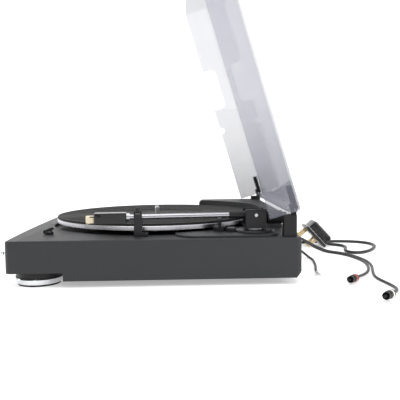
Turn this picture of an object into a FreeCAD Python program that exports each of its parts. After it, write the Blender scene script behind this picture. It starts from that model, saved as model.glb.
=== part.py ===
import FreeCAD
import Part
import math
import os

from FreeCAD import Vector

# Automatic belt-drive turntable with a hinged smoked lid.
# Millimetres, +Z up, front towards -Y, tonearm on the +X side.
# The origin is on the platter's axis, in the plane that a record rests on.
# The model stands with the lid open and the tonearm on its rest.

# ---------------------------------------------------------------- driving sizes
RECORD_HEIGHT = 71.0        # floor to the plane a record rests on
DECK_HEIGHT = 57.0          # floor to the plinth's top face
SKIRT_HEIGHT = 8.0          # floor to the lower edge of the side walls
FRONT_UNDERSIDE = 18.0      # floor to the underside at the front feet
PLINTH_WIDTH = 360.0
PLINTH_DEPTH = 357.0        # measured at the corners, without the front's bow
PLINTH_CENTRE = (12.0, 6.0)  # middle of the plinth, seen from the platter's axis
FRONT_BOW = 4.0             # how far the front face bulges at its middle
CORNER_RADIUS = 7.0
TOP_EDGE_RADIUS = 2.0
WALL = 3.0
DECK_THICKNESS = 3.0
FIT_GAP = 0.3               # between fixed pieces that drop into each other
RUNNING_GAP = 0.05          # radial clearance of a shaft in its bearing

PLATTER_RADIUS = 149.0
RECESS_GAP = 4.0            # platter rim to the wall of the deck's recess
RECESS_DEPTH = 5.0
PAN_FLANGE = 6.0            # platter pan beyond the recess, under the deck
MAT_THICKNESS = 3.0
WEB_THICKNESS = 2.5
RIM_HEIGHT = 5.5
RIM_THICKNESS = 6.0
BELT_RING_RADIUS = 100.0
BELT_RING_THICKNESS = 3.0
SPINDLE_RADIUS = 3.6        # the standard record pin
SPINDLE_RISE = 11.0         # above the record plane
SHAFT_RADIUS = 4.0
HUB_RADIUS = 13.0

PULLEY_RADIUS = 7.0
BELT_THICKNESS = 0.8
BELT_HEIGHT = 5.0
MOTOR_PLACE = (-86.0, 86.0)
MOTOR_RADIUS = 17.5
MOTOR_LENGTH = 24.0

GEAR_MODULE = 1.0
PINION_TEETH = 16
CAM_TEETH = 72
CAM_GAP_TEETH = 6           # teeth left out where the cam gear parks
GEAR_THICKNESS = 3.5

PIVOT_PLACE = (147.0, 132.0)
ARM_HEIGHT = 10.0           # arm centre line above the record plane
ARM_LENGTH = 212.0          # pivot to stylus
ARM_REST_ANGLE = 4.5        # degrees outward from straight ahead, on the rest
TUBE_RADIUS = 3.3
YOKE_LENGTH = 27.0
YOKE_INSIDE = 18.0
YOKE_WALL = 2.5
SHELL_LENGTH = 40.0
SHELL_WIDTH = 17.0
SHELL_HEIGHT = 13.0
COUNTERWEIGHT_RADIUS = 8.5
COUNTERWEIGHT_LENGTH = 20.0
COUNTERWEIGHT_DROP = 4.0    # its centre hangs below the arm's centre line
ARM_SHAFT_RADIUS = 4.0
LIFT_RADIUS = 45.0          # arm pivot to the lifting bar
REST_DISTANCE = 147.5       # arm pivot to the rest's middle
CLIP_LENGTH = 5.0           # rest clip beyond its pin, under the closed lid
WEIGHT_START = 15.5         # arm pivot to the counterweight's front face

LID_WALL = 2.5
LID_HEIGHT = 39.0           # outside, closed
LID_WIDTH = 356.0
LID_LENGTH = 348.0
LID_REAR = 179.0            # rear face of the closed lid
LID_FLOAT = 0.5             # closed lid to the deck
LID_LIP = 12.0              # depth of the short rear wall
LID_OPEN_ANGLE = 73.6
LID_CORNER = 6.0
HINGE_BACK = 3.0            # hinge pin to the lid's rear face
HINGE_DROP = 7.0            # hinge pin to the lid's top face
HINGE_PIN_RADIUS = 1.5
HINGE_EAR_RADIUS = 3.2
HINGE_SPREAD = 167.0        # middle of the plinth to each hinge
POST_WIDTH = 14.0
POST_DEPTH = 16.0
POST_HEIGHT = 27.0

PANEL_THICKNESS = 2.5       # front panel, front face
PANEL_TOP_THICKNESS = 1.2   # front panel, where it folds over the deck
PANEL_DEPTH = 18.0
BUTTON_SIZE = (24.0, 9.0)
BUTTON_PROUD = 1.6
BUTTON_LEVEL = 33.0         # floor to the buttons' middle
BUTTON_PITCH = 30.0
BUTTON_MIDDLE_X = 60.0
KNOB_PLACE_X = 170.0
KNOB_LEVEL = 39.8           # floor to the power knob's middle
KNOB_RADIUS = 2.4
KNOB_PROUD = 10.5
SELECTOR_PLACE = (130.0, -133.5)

FOOT_PLACE = (146.0, -140.0)  # from the plinth's middle line, and Y
FOOT_RADIUS = 29.5
FOOT_PAD_HEIGHT = 2.5
FOOT_RING_HEIGHT = 7.0
REAR_FOOT_PLACE = (128.0, 135.0)
REAR_FOOT_RADIUS = 14.0
BASE_THICKNESS = 2.0

SHELF_FRONT = 68.0          # front end of the raised rear shelf, in Y
SHELF_REAR = 176.0
SHELF_END_X = 96.0
SHELF_TOP = 7.5             # above the record plane
SHELF_MARGIN = 6.0          # left side of the plinth to the shelf
SHELF_NOSE = 7.0            # rounding of the shelf's front end

BOARD_RISE = 2.5            # raised arm board above the deck
BOARD_FRONT = 31.0
BOARD_REAR = 161.0
BOARD_MARGIN = 8.0          # right side of the plinth to the arm board
BOARD_CORNER = 26.0
ARM_BASE_RADIUS = 25.0

REAR_SOCKET_LEVEL = 25.0    # floor to the signal sockets
SOCKET_X = {"right": -20.0, "left": -34.0}
GLAND_X = -120.0
GLAND_LEVEL = 30.0
GROUND_X = 4.0
SIGNAL_CORD = 3.6           # cord diameters
MAINS_CORD = 5.0
GROUND_CORD = 3.6
PLUG_WIDTH = 44.0
PLUG_LENGTH = 46.0
PLUG_DEPTH = 21.5
COIL_MEAN_RADIUS = 29.0
COIL_TURNS_WIDE = 2
COIL_TURNS_HIGH = 3
COIL_PLACE = (-150.0, 220.0)

# ------------------------------------------------------------- worked-out levels
FLOOR = -RECORD_HEIGHT
DECK = FLOOR + DECK_HEIGHT
SKIRT = FLOOR + SKIRT_HEIGHT
UNDERSIDE = FLOOR + FRONT_UNDERSIDE
BOARD = DECK + BOARD_RISE
CX, CY = PLINTH_CENTRE
FRONT = CY - PLINTH_DEPTH / 2
REAR = CY + PLINTH_DEPTH / 2
LEFT = CX - PLINTH_WIDTH / 2
RIGHT = CX + PLINTH_WIDTH / 2
RECESS_RADIUS = PLATTER_RADIUS + RECESS_GAP
PAN_TOP = DECK - RECESS_DEPTH
PAN_BOTTOM = PAN_TOP - DECK_THICKNESS
WEB_TOP = -MAT_THICKNESS
WEB_BOTTOM = WEB_TOP - WEB_THICKNESS
BELT_TOP = WEB_BOTTOM - 4.5
BELT_BOTTOM = BELT_TOP - BELT_HEIGHT
BASE_TOP = UNDERSIDE + BASE_THICKNESS
ARM_PIVOT = Vector(PIVOT_PLACE[0], PIVOT_PLACE[1], ARM_HEIGHT)
LID_BOTTOM = DECK + LID_FLOAT
LID_TOP = LID_BOTTOM + LID_HEIGHT
LID_FRONT = LID_REAR - LID_LENGTH
HINGE = Vector(0, LID_REAR - HINGE_BACK, LID_TOP - HINGE_DROP)
X_AXIS = Vector(1, 0, 0)
Y_AXIS = Vector(0, 1, 0)
Z_AXIS = Vector(0, 0, 1)


# -------------------------------------------------------------------- basic forms
def block(x0, x1, y0, y1, z0, z1):
    """A box between two corners."""
    return Part.makeBox(x1 - x0, y1 - y0, z1 - z0, Vector(x0, y0, z0))


def disc(radius, z0, z1, x=0.0, y=0.0):
    """An upright cylinder."""
    return Part.makeCylinder(radius, z1 - z0, Vector(x, y, z0))


def tube(outer, inner, z0, z1, x=0.0, y=0.0):
    """An upright tube."""
    return disc(outer, z0, z1, x, y).cut(disc(inner, z0 - 1, z1 + 1, x, y))


def rod(radius, start, direction, length):
    """A cylinder in any direction."""
    return Part.makeCylinder(radius, length, start, direction)


def edges_where(shape, test):
    """Edges whose every vertex passes the test."""
    return [e for e in shape.Edges if all(test(v.Point) for v in e.Vertexes)]


def upright_edges(shape):
    """Straight edges that run along Z."""
    found = []
    for edge in shape.Edges:
        ends = [v.Point for v in edge.Vertexes]
        if len(ends) == 2 and abs(ends[0].z - ends[1].z) > 0.5:
            if math.hypot(ends[0].x - ends[1].x, ends[0].y - ends[1].y) < 1e-6:
                found.append(edge)
    return found


def soft_block(x0, x1, y0, y1, z0, z1, radius, top_radius=0.0):
    """A box with rounded upright edges and, if asked, a rounded top edge."""
    shape = block(x0, x1, y0, y1, z0, z1)
    shape = shape.makeFillet(radius, upright_edges(shape))
    if top_radius:
        rim = edges_where(shape, lambda p: abs(p.z - z1) < 1e-6)
        shape = shape.makeFillet(top_radius, rim)
    return shape


def prism(points, direction):
    """A polygon pulled along a direction."""
    return Part.Face(Part.makePolygon(points + [points[0]])).extrude(direction)


def lathe(profile, x=0.0, y=0.0):
    """A closed (radius, z) profile turned about an upright axis."""
    points = [Vector(x + r, y, z) for r, z in profile]
    face = Part.Face(Part.makePolygon(points + [points[0]]))
    return face.revolve(Vector(x, y, 0), Z_AXIS, 360)


def turned(shape, centre, axis, degrees):
    """A turned copy."""
    copy = shape.copy()
    copy.rotate(centre, axis, degrees)
    return copy


def group(shapes):
    """Identical pieces kept as separate solids of one node."""
    return Part.makeCompound(shapes)


# ------------------------------------------------------------------------ housing
def plinth_block(side, front, z0, z1, corner):
    """The plinth's outline with a bowed front, inset by side and front."""
    x0, x1 = LEFT + side, RIGHT - side
    y0, y1 = FRONT + front, REAR - side
    bow = Part.Arc(Vector(x0, y0, z0), Vector(CX, y0 - FRONT_BOW, z0), Vector(x1, y0, z0))
    wire = Part.Wire([
        bow.toShape(),
        Part.makeLine(Vector(x1, y0, z0), Vector(x1, y1, z0)),
        Part.makeLine(Vector(x1, y1, z0), Vector(x0, y1, z0)),
        Part.makeLine(Vector(x0, y1, z0), Vector(x0, y0, z0)),
    ])
    shape = Part.Face(wire).extrude(Vector(0, 0, z1 - z0))
    return shape.makeFillet(corner, upright_edges(shape))


def outer_form():
    """The closed outer form that the plinth and the front panel share."""
    shape = plinth_block(0, 0, SKIRT, DECK, CORNER_RADIUS)
    rim = edges_where(shape, lambda p: abs(p.z - DECK) < 1e-6)
    shape = shape.makeFillet(TOP_EDGE_RADIUS, rim)
    foot_bay_end = FOOT_PLACE[1] + FOOT_RADIUS + 7.0
    shape = shape.cut(block(LEFT - 1, RIGHT + 1, FRONT - 10, foot_bay_end, SKIRT - 1, UNDERSIDE))
    chamfer = prism([
        Vector(LEFT - 1, REAR + 1, SKIRT - 1),
        Vector(LEFT - 1, REAR + 1, SKIRT + 8.0),
        Vector(LEFT - 1, REAR, SKIRT + 8.0),
        Vector(LEFT - 1, REAR - 8.0, SKIRT - 1),
    ], Vector(PLINTH_WIDTH + 2, 0, 0))
    return shape.cut(chamfer)


def panel_zone():
    """Where the front panel lies: the front face and a strip of the deck behind it."""
    low = UNDERSIDE - 1
    ends = FRONT + PANEL_DEPTH - FRONT_BOW
    back = Part.Arc(
        Vector(RIGHT + 1, ends, low), Vector(CX, FRONT + PANEL_DEPTH, low), Vector(LEFT - 1, ends, low))
    wire = Part.Wire([
        back.toShape(),
        Part.makeLine(Vector(LEFT - 1, ends, low), Vector(LEFT - 1, FRONT - 10, low)),
        Part.makeLine(Vector(LEFT - 1, FRONT - 10, low), Vector(RIGHT + 1, FRONT - 10, low)),
        Part.makeLine(Vector(RIGHT + 1, FRONT - 10, low), Vector(RIGHT + 1, ends, low)),
    ])
    return Part.Face(wire).extrude(Vector(0, 0, DECK - low + 1))


def button_places():
    """X of each front button's middle, from left to right."""
    return {
        "start": BUTTON_MIDDLE_X - BUTTON_PITCH,
        "stop": BUTTON_MIDDLE_X,
        "lift": BUTTON_MIDDLE_X + BUTTON_PITCH,
    }


def front_face_y(x):
    """Y of the bowed front face at x."""
    half = PLINTH_WIDTH / 2
    radius = (half ** 2 + FRONT_BOW ** 2) / (2 * FRONT_BOW)
    return FRONT - FRONT_BOW + radius - math.sqrt(radius ** 2 - (x - CX) ** 2)


def front_openings():
    """Cuts for the front buttons and the power knob, through the panel and the wall."""
    width, height = BUTTON_SIZE
    level = FLOOR + BUTTON_LEVEL
    cuts = []
    for x in button_places().values():
        cuts.append(block(
            x - width / 2 - FIT_GAP, x + width / 2 + FIT_GAP, FRONT - 10, FRONT + 12,
            level - height / 2 - FIT_GAP, level + height / 2 + FIT_GAP))
    knob = Vector(KNOB_PLACE_X, FRONT - 10, FLOOR + KNOB_LEVEL)
    cuts.append(rod(KNOB_RADIUS + FIT_GAP, knob, Y_AXIS, 22))
    return cuts


def hinge_places():
    """X of the two lid hinges."""
    return {"left": CX - HINGE_SPREAD, "right": CX + HINGE_SPREAD}


def rear_shelf():
    """The hollow raised shelf on the deck that wraps the platter's recess at the rear left."""
    x0 = LEFT + SHELF_MARGIN
    body = block(x0, SHELF_END_X, SHELF_FRONT, SHELF_REAR, DECK, SHELF_TOP)
    body = body.cut(disc(RECESS_RADIUS + WALL, DECK - 20, SHELF_TOP + 1))
    rim = edges_where(body, lambda p: abs(p.z - SHELF_TOP) < 1e-6)
    nose = [e for e in rim if all(abs(v.Point.y - SHELF_FRONT) < 1e-6 for v in e.Vertexes)]
    body = body.makeFillet(SHELF_NOSE, nose)
    hollow = block(
        x0 + WALL, SHELF_END_X - WALL, SHELF_FRONT + SHELF_NOSE, SHELF_REAR - WALL,
        DECK - 1, SHELF_TOP - WALL)
    hollow = hollow.cut(disc(RECESS_RADIUS + 2 * WALL, DECK - 20, SHELF_TOP + 1))
    body = body.cut(hollow)
    for x in hinge_places().values():
        half = POST_WIDTH / 2 + FIT_GAP
        y0 = HINGE.y - POST_DEPTH + HINGE_BACK - FIT_GAP
        body = body.cut(block(x - half, x + half, y0, LID_REAR + FIT_GAP, DECK - 1, SHELF_TOP + 1))
    return body


def platter_pan():
    """The pan under the platter: floor, low ring against the deck, and the cam gear's post."""
    outer = RECESS_RADIUS + PAN_FLANGE
    pan = disc(outer, PAN_BOTTOM, DECK - DECK_THICKNESS).cut(disc(RECESS_RADIUS, PAN_TOP, DECK))
    pan = pan.cut(disc(HUB_RADIUS + 3.0, PAN_BOTTOM - 1, PAN_TOP + 1))
    pan = pan.cut(disc(PULLEY_RADIUS + 3.0, PAN_BOTTOM - 1, PAN_TOP + 1, *MOTOR_PLACE))
    return pan.fuse(cam_gear_post())


def arm_board():
    """The low raised board under the tonearm, with a rounded front."""
    right = RIGHT - BOARD_MARGIN
    left = PIVOT_PLACE[0] - ARM_BASE_RADIUS - 22.0
    return soft_block(left, right, BOARD_FRONT, BOARD_REAR, DECK - 1, BOARD, BOARD_CORNER, 0.8)


def plinth_shell(panel):
    """The moulded plinth: deck, arm board and side walls, open underneath."""
    shell = outer_form()
    cavity = plinth_block(
        WALL, PANEL_THICKNESS + WALL, SKIRT - 1, DECK - DECK_THICKNESS, CORNER_RADIUS - WALL)
    shell = shell.cut(cavity)
    shell = shell.fuse(arm_board()).cut(disc(RECESS_RADIUS, PAN_TOP, BOARD + 1))
    cuts = [
        panel,
        disc(ARM_SHAFT_RADIUS + 3.0, DECK - 10, BOARD + 1, *PIVOT_PLACE),
        disc(5.0, DECK - 10, BOARD + 1, *lift_post_place()),
        disc(3.5, DECK - 10, DECK + 1, *SELECTOR_PLACE),
        rod(4.5, Vector(GLAND_X, REAR - 8, FLOOR + GLAND_LEVEL), Y_AXIS, 12),
        rod(2.0, Vector(GROUND_X, REAR - 8, FLOOR + REAR_SOCKET_LEVEL), Y_AXIS, 12),
    ]
    for x in SOCKET_X.values():
        cuts.append(rod(5.0, Vector(x, REAR - 8, FLOOR + REAR_SOCKET_LEVEL), Y_AXIS, 12))
    for cut in cuts + front_openings():
        shell = shell.cut(cut)
    return shell


def front_panel():
    """The separate front moulding: bowed face and the strip folded over the deck."""
    core = plinth_block(
        -2.0, PANEL_THICKNESS, SKIRT - 1, DECK - PANEL_TOP_THICKNESS, CORNER_RADIUS)
    panel = outer_form().common(panel_zone()).cut(core)
    return panel


def base_plate():
    """The flat bottom cover, screwed up into the plinth."""
    inset = WALL + FIT_GAP
    plate = plinth_block(inset, PANEL_THICKNESS + inset, UNDERSIDE, BASE_TOP, CORNER_RADIUS - inset)
    for x, y in front_foot_places().values():
        plate = plate.cut(disc(2.2, UNDERSIDE - 1, BASE_TOP + 1, x, y))
    for x, y in rear_foot_places().values():
        plate = plate.cut(disc(2.2, UNDERSIDE - 1, BASE_TOP + 1, x, y))
    for row in range(5):
        y = -40.0 + 12.0 * row
        plate = plate.cut(block(-30, 30, y, y + 3.0, UNDERSIDE - 1, BASE_TOP + 1))
    return plate


def base_screws():
    """Six pan-head screws under the base plate."""
    places = [(-150, -60), (-150, 80), (174, -60), (174, 80), (-30, 165), (60, 165)]
    screws = []
    for x, y in places:
        screws.append(disc(3.5, UNDERSIDE - 2.0, UNDERSIDE, x, y).cut(
            block(x - 0.5, x + 0.5, y - 3, y + 3, UNDERSIDE - 3, UNDERSIDE - 1.2)))
    return group(screws)


# --------------------------------------------------------------------------- feet
def front_foot_places():
    """Centres of the two large front feet."""
    dx, y = FOOT_PLACE
    return {"left": (CX - dx, y), "right": (CX + dx, y)}


def rear_foot_places():
    """Centres of the two plain rear feet."""
    dx, y = REAR_FOOT_PLACE
    return {"left": (CX - dx, y), "right": (CX + dx, y)}


def front_foot(x, y):
    """A front foot as three pieces: black cup, bright tapered ring and rubber pad."""
    pad_top = FLOOR + FOOT_PAD_HEIGHT
    ring_top = pad_top + FOOT_RING_HEIGHT
    cup = disc(FOOT_RADIUS - 1.5, ring_top, UNDERSIDE, x, y)
    cup = cup.fuse(disc(FOOT_RADIUS - 4.0, pad_top + 1.0, ring_top, x, y))
    ring = lathe([
        (FOOT_RADIUS - 4.0, pad_top), (FOOT_RADIUS - 2.0, pad_top), (FOOT_RADIUS, ring_top - 1.0),
        (FOOT_RADIUS - 0.8, ring_top), (FOOT_RADIUS - 4.0, ring_top),
    ], x, y)
    pad = disc(FOOT_RADIUS - 3.5, FLOOR, pad_top, x, y)
    pad = pad.fuse(disc(FOOT_RADIUS - 6.0, pad_top, pad_top + 1.0, x, y))
    return {"cup": cup, "ring": ring, "pad": pad}


def rear_foot(x, y):
    """A rear foot: one stepped rubber block."""
    return lathe([
        (0, FLOOR), (REAR_FOOT_RADIUS - 1.5, FLOOR), (REAR_FOOT_RADIUS, FLOOR + 1.5),
        (REAR_FOOT_RADIUS, UNDERSIDE - 4.0), (REAR_FOOT_RADIUS - 3.0, UNDERSIDE), (0, UNDERSIDE),
    ], x, y)


# ------------------------------------------------------------- platter and drive
def platter():
    """Die-cast platter: web, rim, belt ring and hub, with two belt access holes."""
    ring_in = BELT_RING_RADIUS - BELT_RING_THICKNESS
    rim_in = PLATTER_RADIUS - RIM_THICKNESS
    shape = lathe([
        (SHAFT_RADIUS, WEB_TOP), (PLATTER_RADIUS - 0.8, WEB_TOP), (PLATTER_RADIUS, WEB_TOP - 0.8),
        (PLATTER_RADIUS, WEB_TOP - RIM_HEIGHT), (rim_in, WEB_TOP - RIM_HEIGHT),
        (rim_in, WEB_BOTTOM), (BELT_RING_RADIUS, WEB_BOTTOM),
        (BELT_RING_RADIUS, BELT_BOTTOM - 1.0), (ring_in, BELT_BOTTOM - 1.0),
        (ring_in, WEB_BOTTOM), (HUB_RADIUS, WEB_BOTTOM), (HUB_RADIUS, PAN_TOP + 5.0),
        (SHAFT_RADIUS, PAN_TOP + 5.0),
    ])
    reach = math.hypot(*MOTOR_PLACE)
    for side in (-1, 1):
        x, y = (side * v * 1.0 for v in MOTOR_PLACE)
        hole = disc(min(reach - BELT_RING_RADIUS, rim_in - reach) - 4.0, WEB_BOTTOM - 1, WEB_TOP + 1, x, y)
        shape = shape.cut(hole)
    return shape


def platter_mat():
    """The flat rubber mat, with a shallow label recess and a spindle hole."""
    hole = SHAFT_RADIUS + 0.4
    return lathe([
        (hole, WEB_TOP), (PLATTER_RADIUS - 1.5, WEB_TOP), (PLATTER_RADIUS - 0.5, WEB_TOP + 0.8),
        (PLATTER_RADIUS - 0.5, -0.6), (PLATTER_RADIUS - 1.4, 0), (52.0, 0), (50.0, -0.8), (hole, -0.8),
    ])


def spindle():
    """The platter's shaft, stepped down to the record pin and rounded at the top."""
    bottom = PAN_BOTTOM - 25.0
    tip = SPINDLE_RISE
    return lathe([
        (0, bottom), (SHAFT_RADIUS - 1.0, bottom), (SHAFT_RADIUS, bottom + 1.0),
        (SHAFT_RADIUS, -0.1), (SPINDLE_RADIUS, -0.1), (SPINDLE_RADIUS, tip - 3.0),
        (SPINDLE_RADIUS * 0.86, tip - 1.3), (SPINDLE_RADIUS * 0.5, tip - 0.3), (0, tip),
    ])


def bearing_housing():
    """The main bearing's flanged sleeve under the pan."""
    bottom = PAN_BOTTOM - 31.0 + BASE_THICKNESS + 2.0
    bore = SHAFT_RADIUS + RUNNING_GAP
    return lathe([
        (0, bottom), (9.0, bottom), (9.0, PAN_BOTTOM - 3.0), (24.0, PAN_BOTTOM - 3.0),
        (24.0, PAN_BOTTOM), (12.0, PAN_BOTTOM), (12.0, PAN_TOP - 1.0), (bore, PAN_TOP - 1.0),
        (bore, PAN_BOTTOM - 25.2), (0, PAN_BOTTOM - 25.2),
    ])


def gear(teeth, module, z0, z1, bore, missing=0):
    """A spur gear with straight-flanked teeth. The missing teeth face +X."""
    pitch = teeth * module / 2
    root = pitch - 1.2 * module
    tip = pitch + 0.85 * module
    step = 2 * math.pi / teeth
    points = []
    for tooth in range(teeth):
        middle = (tooth + 0.5) * step
        away = min(tooth + 0.5, teeth - tooth - 0.5)
        top = root if away < missing / 2 else tip
        for share, radius in ((-0.30, root), (-0.13, top), (0.13, top), (0.30, root)):
            a = middle + share * step
            points.append(Vector(radius * math.cos(a), radius * math.sin(a), z0))
    body = prism(points, Vector(0, 0, z1 - z0))
    return body.cut(disc(bore, z0 - 1, z1 + 1))


def cam_centre():
    """Centre of the cam gear, on the side away from the motor."""
    distance = (PINION_TEETH + CAM_TEETH) * GEAR_MODULE / 2 + 0.3
    angle = math.radians(-60)
    return Vector(distance * math.cos(angle), distance * math.sin(angle), 0)


def cam_gear():
    """The cycle gear, parked with its toothless gap at the pinion, and its cam track."""
    z0 = PAN_TOP + 0.5
    z1 = z0 + GEAR_THICKNESS
    shape = gear(CAM_TEETH, GEAR_MODULE, z0, z1, 3.0 + RUNNING_GAP, CAM_GAP_TEETH)
    track = tube(27.0, 23.0, z1 - 1.5, z1 + 1, 3.0, 0)
    shape = shape.cut(track)
    centre = cam_centre()
    facing = math.degrees(math.atan2(-centre.y, -centre.x))
    shape = turned(shape, Vector(0, 0, 0), Z_AXIS, facing)
    shape.translate(centre)
    return shape


def cam_gear_post():
    """The fixed post that the cam gear turns on, with its retaining head."""
    c = cam_centre()
    top = PAN_TOP + 0.5 + GEAR_THICKNESS + 0.2
    return disc(3.0, PAN_TOP, top, c.x, c.y).fuse(disc(4.5, top, top + 1.0, c.x, c.y))


def drive_pinion():
    """The small gear under the platter's hub that drives the cam gear."""
    z0 = PAN_TOP + 0.5
    return gear(PINION_TEETH, GEAR_MODULE, z0, z0 + GEAR_THICKNESS, SHAFT_RADIUS)


def belt_path(radius_gain, z):
    """The closed outline of an open belt round the platter's ring and the pulley."""
    big = BELT_RING_RADIUS + radius_gain
    small = PULLEY_RADIUS + radius_gain
    far = math.hypot(*MOTOR_PLACE)
    lean = math.acos((big - small) / far)

    def on(radius, offset, angle):
        return Vector(offset + radius * math.cos(angle), radius * math.sin(angle), z)

    round_ring = Part.Arc(on(big, 0, lean), on(big, 0, math.pi), on(big, 0, -lean))
    round_pulley = Part.Arc(on(small, far, -lean), on(small, far, 0), on(small, far, lean))
    wire = Part.Wire([
        round_ring.toShape(),
        Part.makeLine(on(big, 0, -lean), on(small, far, -lean)),
        round_pulley.toShape(),
        Part.makeLine(on(small, far, lean), on(big, 0, lean)),
    ])
    heading = math.degrees(math.atan2(MOTOR_PLACE[1], MOTOR_PLACE[0]))
    return turned(wire, Vector(0, 0, 0), Z_AXIS, heading)


def drive_belt():
    """The flat rubber belt, a hair clear of the ring and the pulley."""
    z0 = BELT_BOTTOM + 0.2
    outside = Part.Face(belt_path(0.1 + BELT_THICKNESS, z0)).extrude(Vector(0, 0, BELT_HEIGHT - 0.4))
    inside = Part.Face(belt_path(0.1, z0 - 1)).extrude(Vector(0, 0, BELT_HEIGHT + 2))
    return outside.cut(inside)


def motor_parts():
    """Motor can, two screws, and the shaft with its crowned pulley."""
    x, y = MOTOR_PLACE
    top = PAN_BOTTOM - 2.0
    can = disc(MOTOR_RADIUS, top - MOTOR_LENGTH, top, x, y).fuse(tube(6.0, 1.6, top, top + 1.5, x, y))
    can = can.cut(disc(1.6, top - 12.0, top + 2.0, x, y))
    plate = soft_block(x - 26, x + 26, y - 12, y + 12, top, PAN_BOTTOM, 5.0)
    plate = plate.cut(disc(6.0, top - 1, PAN_BOTTOM + 1, x, y))
    for dx in (-21.5, 21.5):
        plate = plate.fuse(disc(2.6, top - 1.8, top, x + dx, y))
    shaft = disc(1.5, top - 11.0, BELT_TOP + 0.6, x, y)
    half = BELT_HEIGHT / 2
    middle = BELT_BOTTOM + half
    pulley = lathe([
        (1.5, BELT_BOTTOM - 2.0), (PULLEY_RADIUS + 1.6, BELT_BOTTOM - 2.0),
        (PULLEY_RADIUS + 1.6, BELT_BOTTOM - 0.6), (PULLEY_RADIUS - 0.2, BELT_BOTTOM - 0.2),
        (PULLEY_RADIUS, middle), (PULLEY_RADIUS - 0.2, BELT_TOP + 0.2),
        (PULLEY_RADIUS + 1.0, BELT_TOP + 0.4), (PULLEY_RADIUS + 1.0, BELT_TOP + 1.0),
        (1.5, BELT_TOP + 1.0),
    ], x, y)
    return {"motor": group([can, plate]), "motor_pulley": pulley.fuse(shaft)}


def electrics():
    """Control board, its parts and the mains transformer on the base plate."""
    board_z = BASE_TOP + 5.0
    board = block(40, 130, 20, 84, board_z, board_z + 1.6)
    board = board.fuse(block(54, 74, 40, 52, board_z + 1.6, board_z + 5.0))
    for x in (60, 76):
        board = board.fuse(disc(5.0, board_z + 1.6, board_z + 14.0, x, 68))
    for x in (46, 124):
        for y in (26, 78):
            board = board.fuse(disc(3.0, BASE_TOP, board_z, x, y))
    core = block(-150, -108, 120, 156, BASE_TOP, BASE_TOP + 27.0)
    window = block(-143, -115, 119, 157, BASE_TOP + 7, BASE_TOP + 20)
    winding = soft_block(-142.5, -115.5, 117, 159, BASE_TOP + 7.5, BASE_TOP + 19.5, 3.0)
    return {"control_board": board, "mains_transformer": group([core.cut(window), winding])}


# ------------------------------------------------------------------------ tonearm
def arm_point(distance, z=ARM_HEIGHT):
    """A point on the resting arm's line, at a distance ahead of the pivot."""
    a = math.radians(ARM_REST_ANGLE)
    return Vector(ARM_PIVOT.x + distance * math.sin(a), ARM_PIVOT.y - distance * math.cos(a), z)


def to_rest(shape):
    """Turns a piece built straight ahead of the pivot onto the rest's line."""
    return turned(shape, ARM_PIVOT, Z_AXIS, ARM_REST_ANGLE)


def lift_post_place():
    """Where the lifting post stands, a little inward of the resting arm."""
    a = math.radians(ARM_REST_ANGLE - 14.0)
    return (ARM_PIVOT.x + LIFT_RADIUS * math.sin(a), ARM_PIVOT.y - LIFT_RADIUS * math.cos(a))


def arm_base():
    """The round base on the deck and the sleeve that the arm's shaft turns in."""
    x, y = PIVOT_PLACE
    bore = ARM_SHAFT_RADIUS + RUNNING_GAP
    edge = ARM_BASE_RADIUS
    base = lathe([
        (bore, BOARD), (edge, BOARD), (edge, BOARD + 1.4), (edge - 1.2, BOARD + 2.5), (bore, BOARD + 2.5),
    ], x, y)
    sleeve = tube(ARM_SHAFT_RADIUS + 2.5, bore, DECK - 22.0, BOARD, x, y)
    return {"arm_base": group([base, sleeve])}


def arm_yoke():
    """The yoke that turns on the base, its shaft, pivot screws and trip lever."""
    x, y, z = ARM_PIVOT
    outer = YOKE_INSIDE / 2 + YOKE_WALL
    seat = BOARD + 2.5 + FIT_GAP
    low = seat + 2.2
    high = z + 7.5
    yoke = soft_block(x - outer, x + outer, y - YOKE_LENGTH / 2, y + YOKE_LENGTH / 2, low, high, 2.0, 1.0)
    room = YOKE_INSIDE / 2
    yoke = yoke.cut(block(x - room, x + room, y - 20, y + 20, low + 4.0, high + 1))
    screw_hole = rod(2.0, Vector(x - outer - 1, y, z), X_AXIS, 2 * outer + 2)
    yoke = yoke.cut(screw_hole)
    shaft_bottom = DECK - 24.0
    shaft = disc(ARM_SHAFT_RADIUS, shaft_bottom, low, x, y).fuse(disc(9.0, seat, low, x, y))
    screws = []
    for side in (-1, 1):
        start = Vector(x + side * (outer + 0.6), y, z)
        inward = Vector(-side, 0, 0)
        body = rod(2.0, start, inward, YOKE_WALL + 1.2)
        tip = Part.makeCone(1.4, 0.5, 1.6, start + inward * (YOKE_WALL + 1.2), inward)
        screws.append(body.fuse(tip))
    lever = soft_block(x - 5, x + 5, y - 5, y + 42, shaft_bottom - 2.0, shaft_bottom, 4.5)
    return {
        "arm_yoke": to_rest(yoke), "arm_shaft": shaft.fuse(to_rest(lever)),
        "arm_pivot_screws": to_rest(group(screws)),
    }


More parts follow.
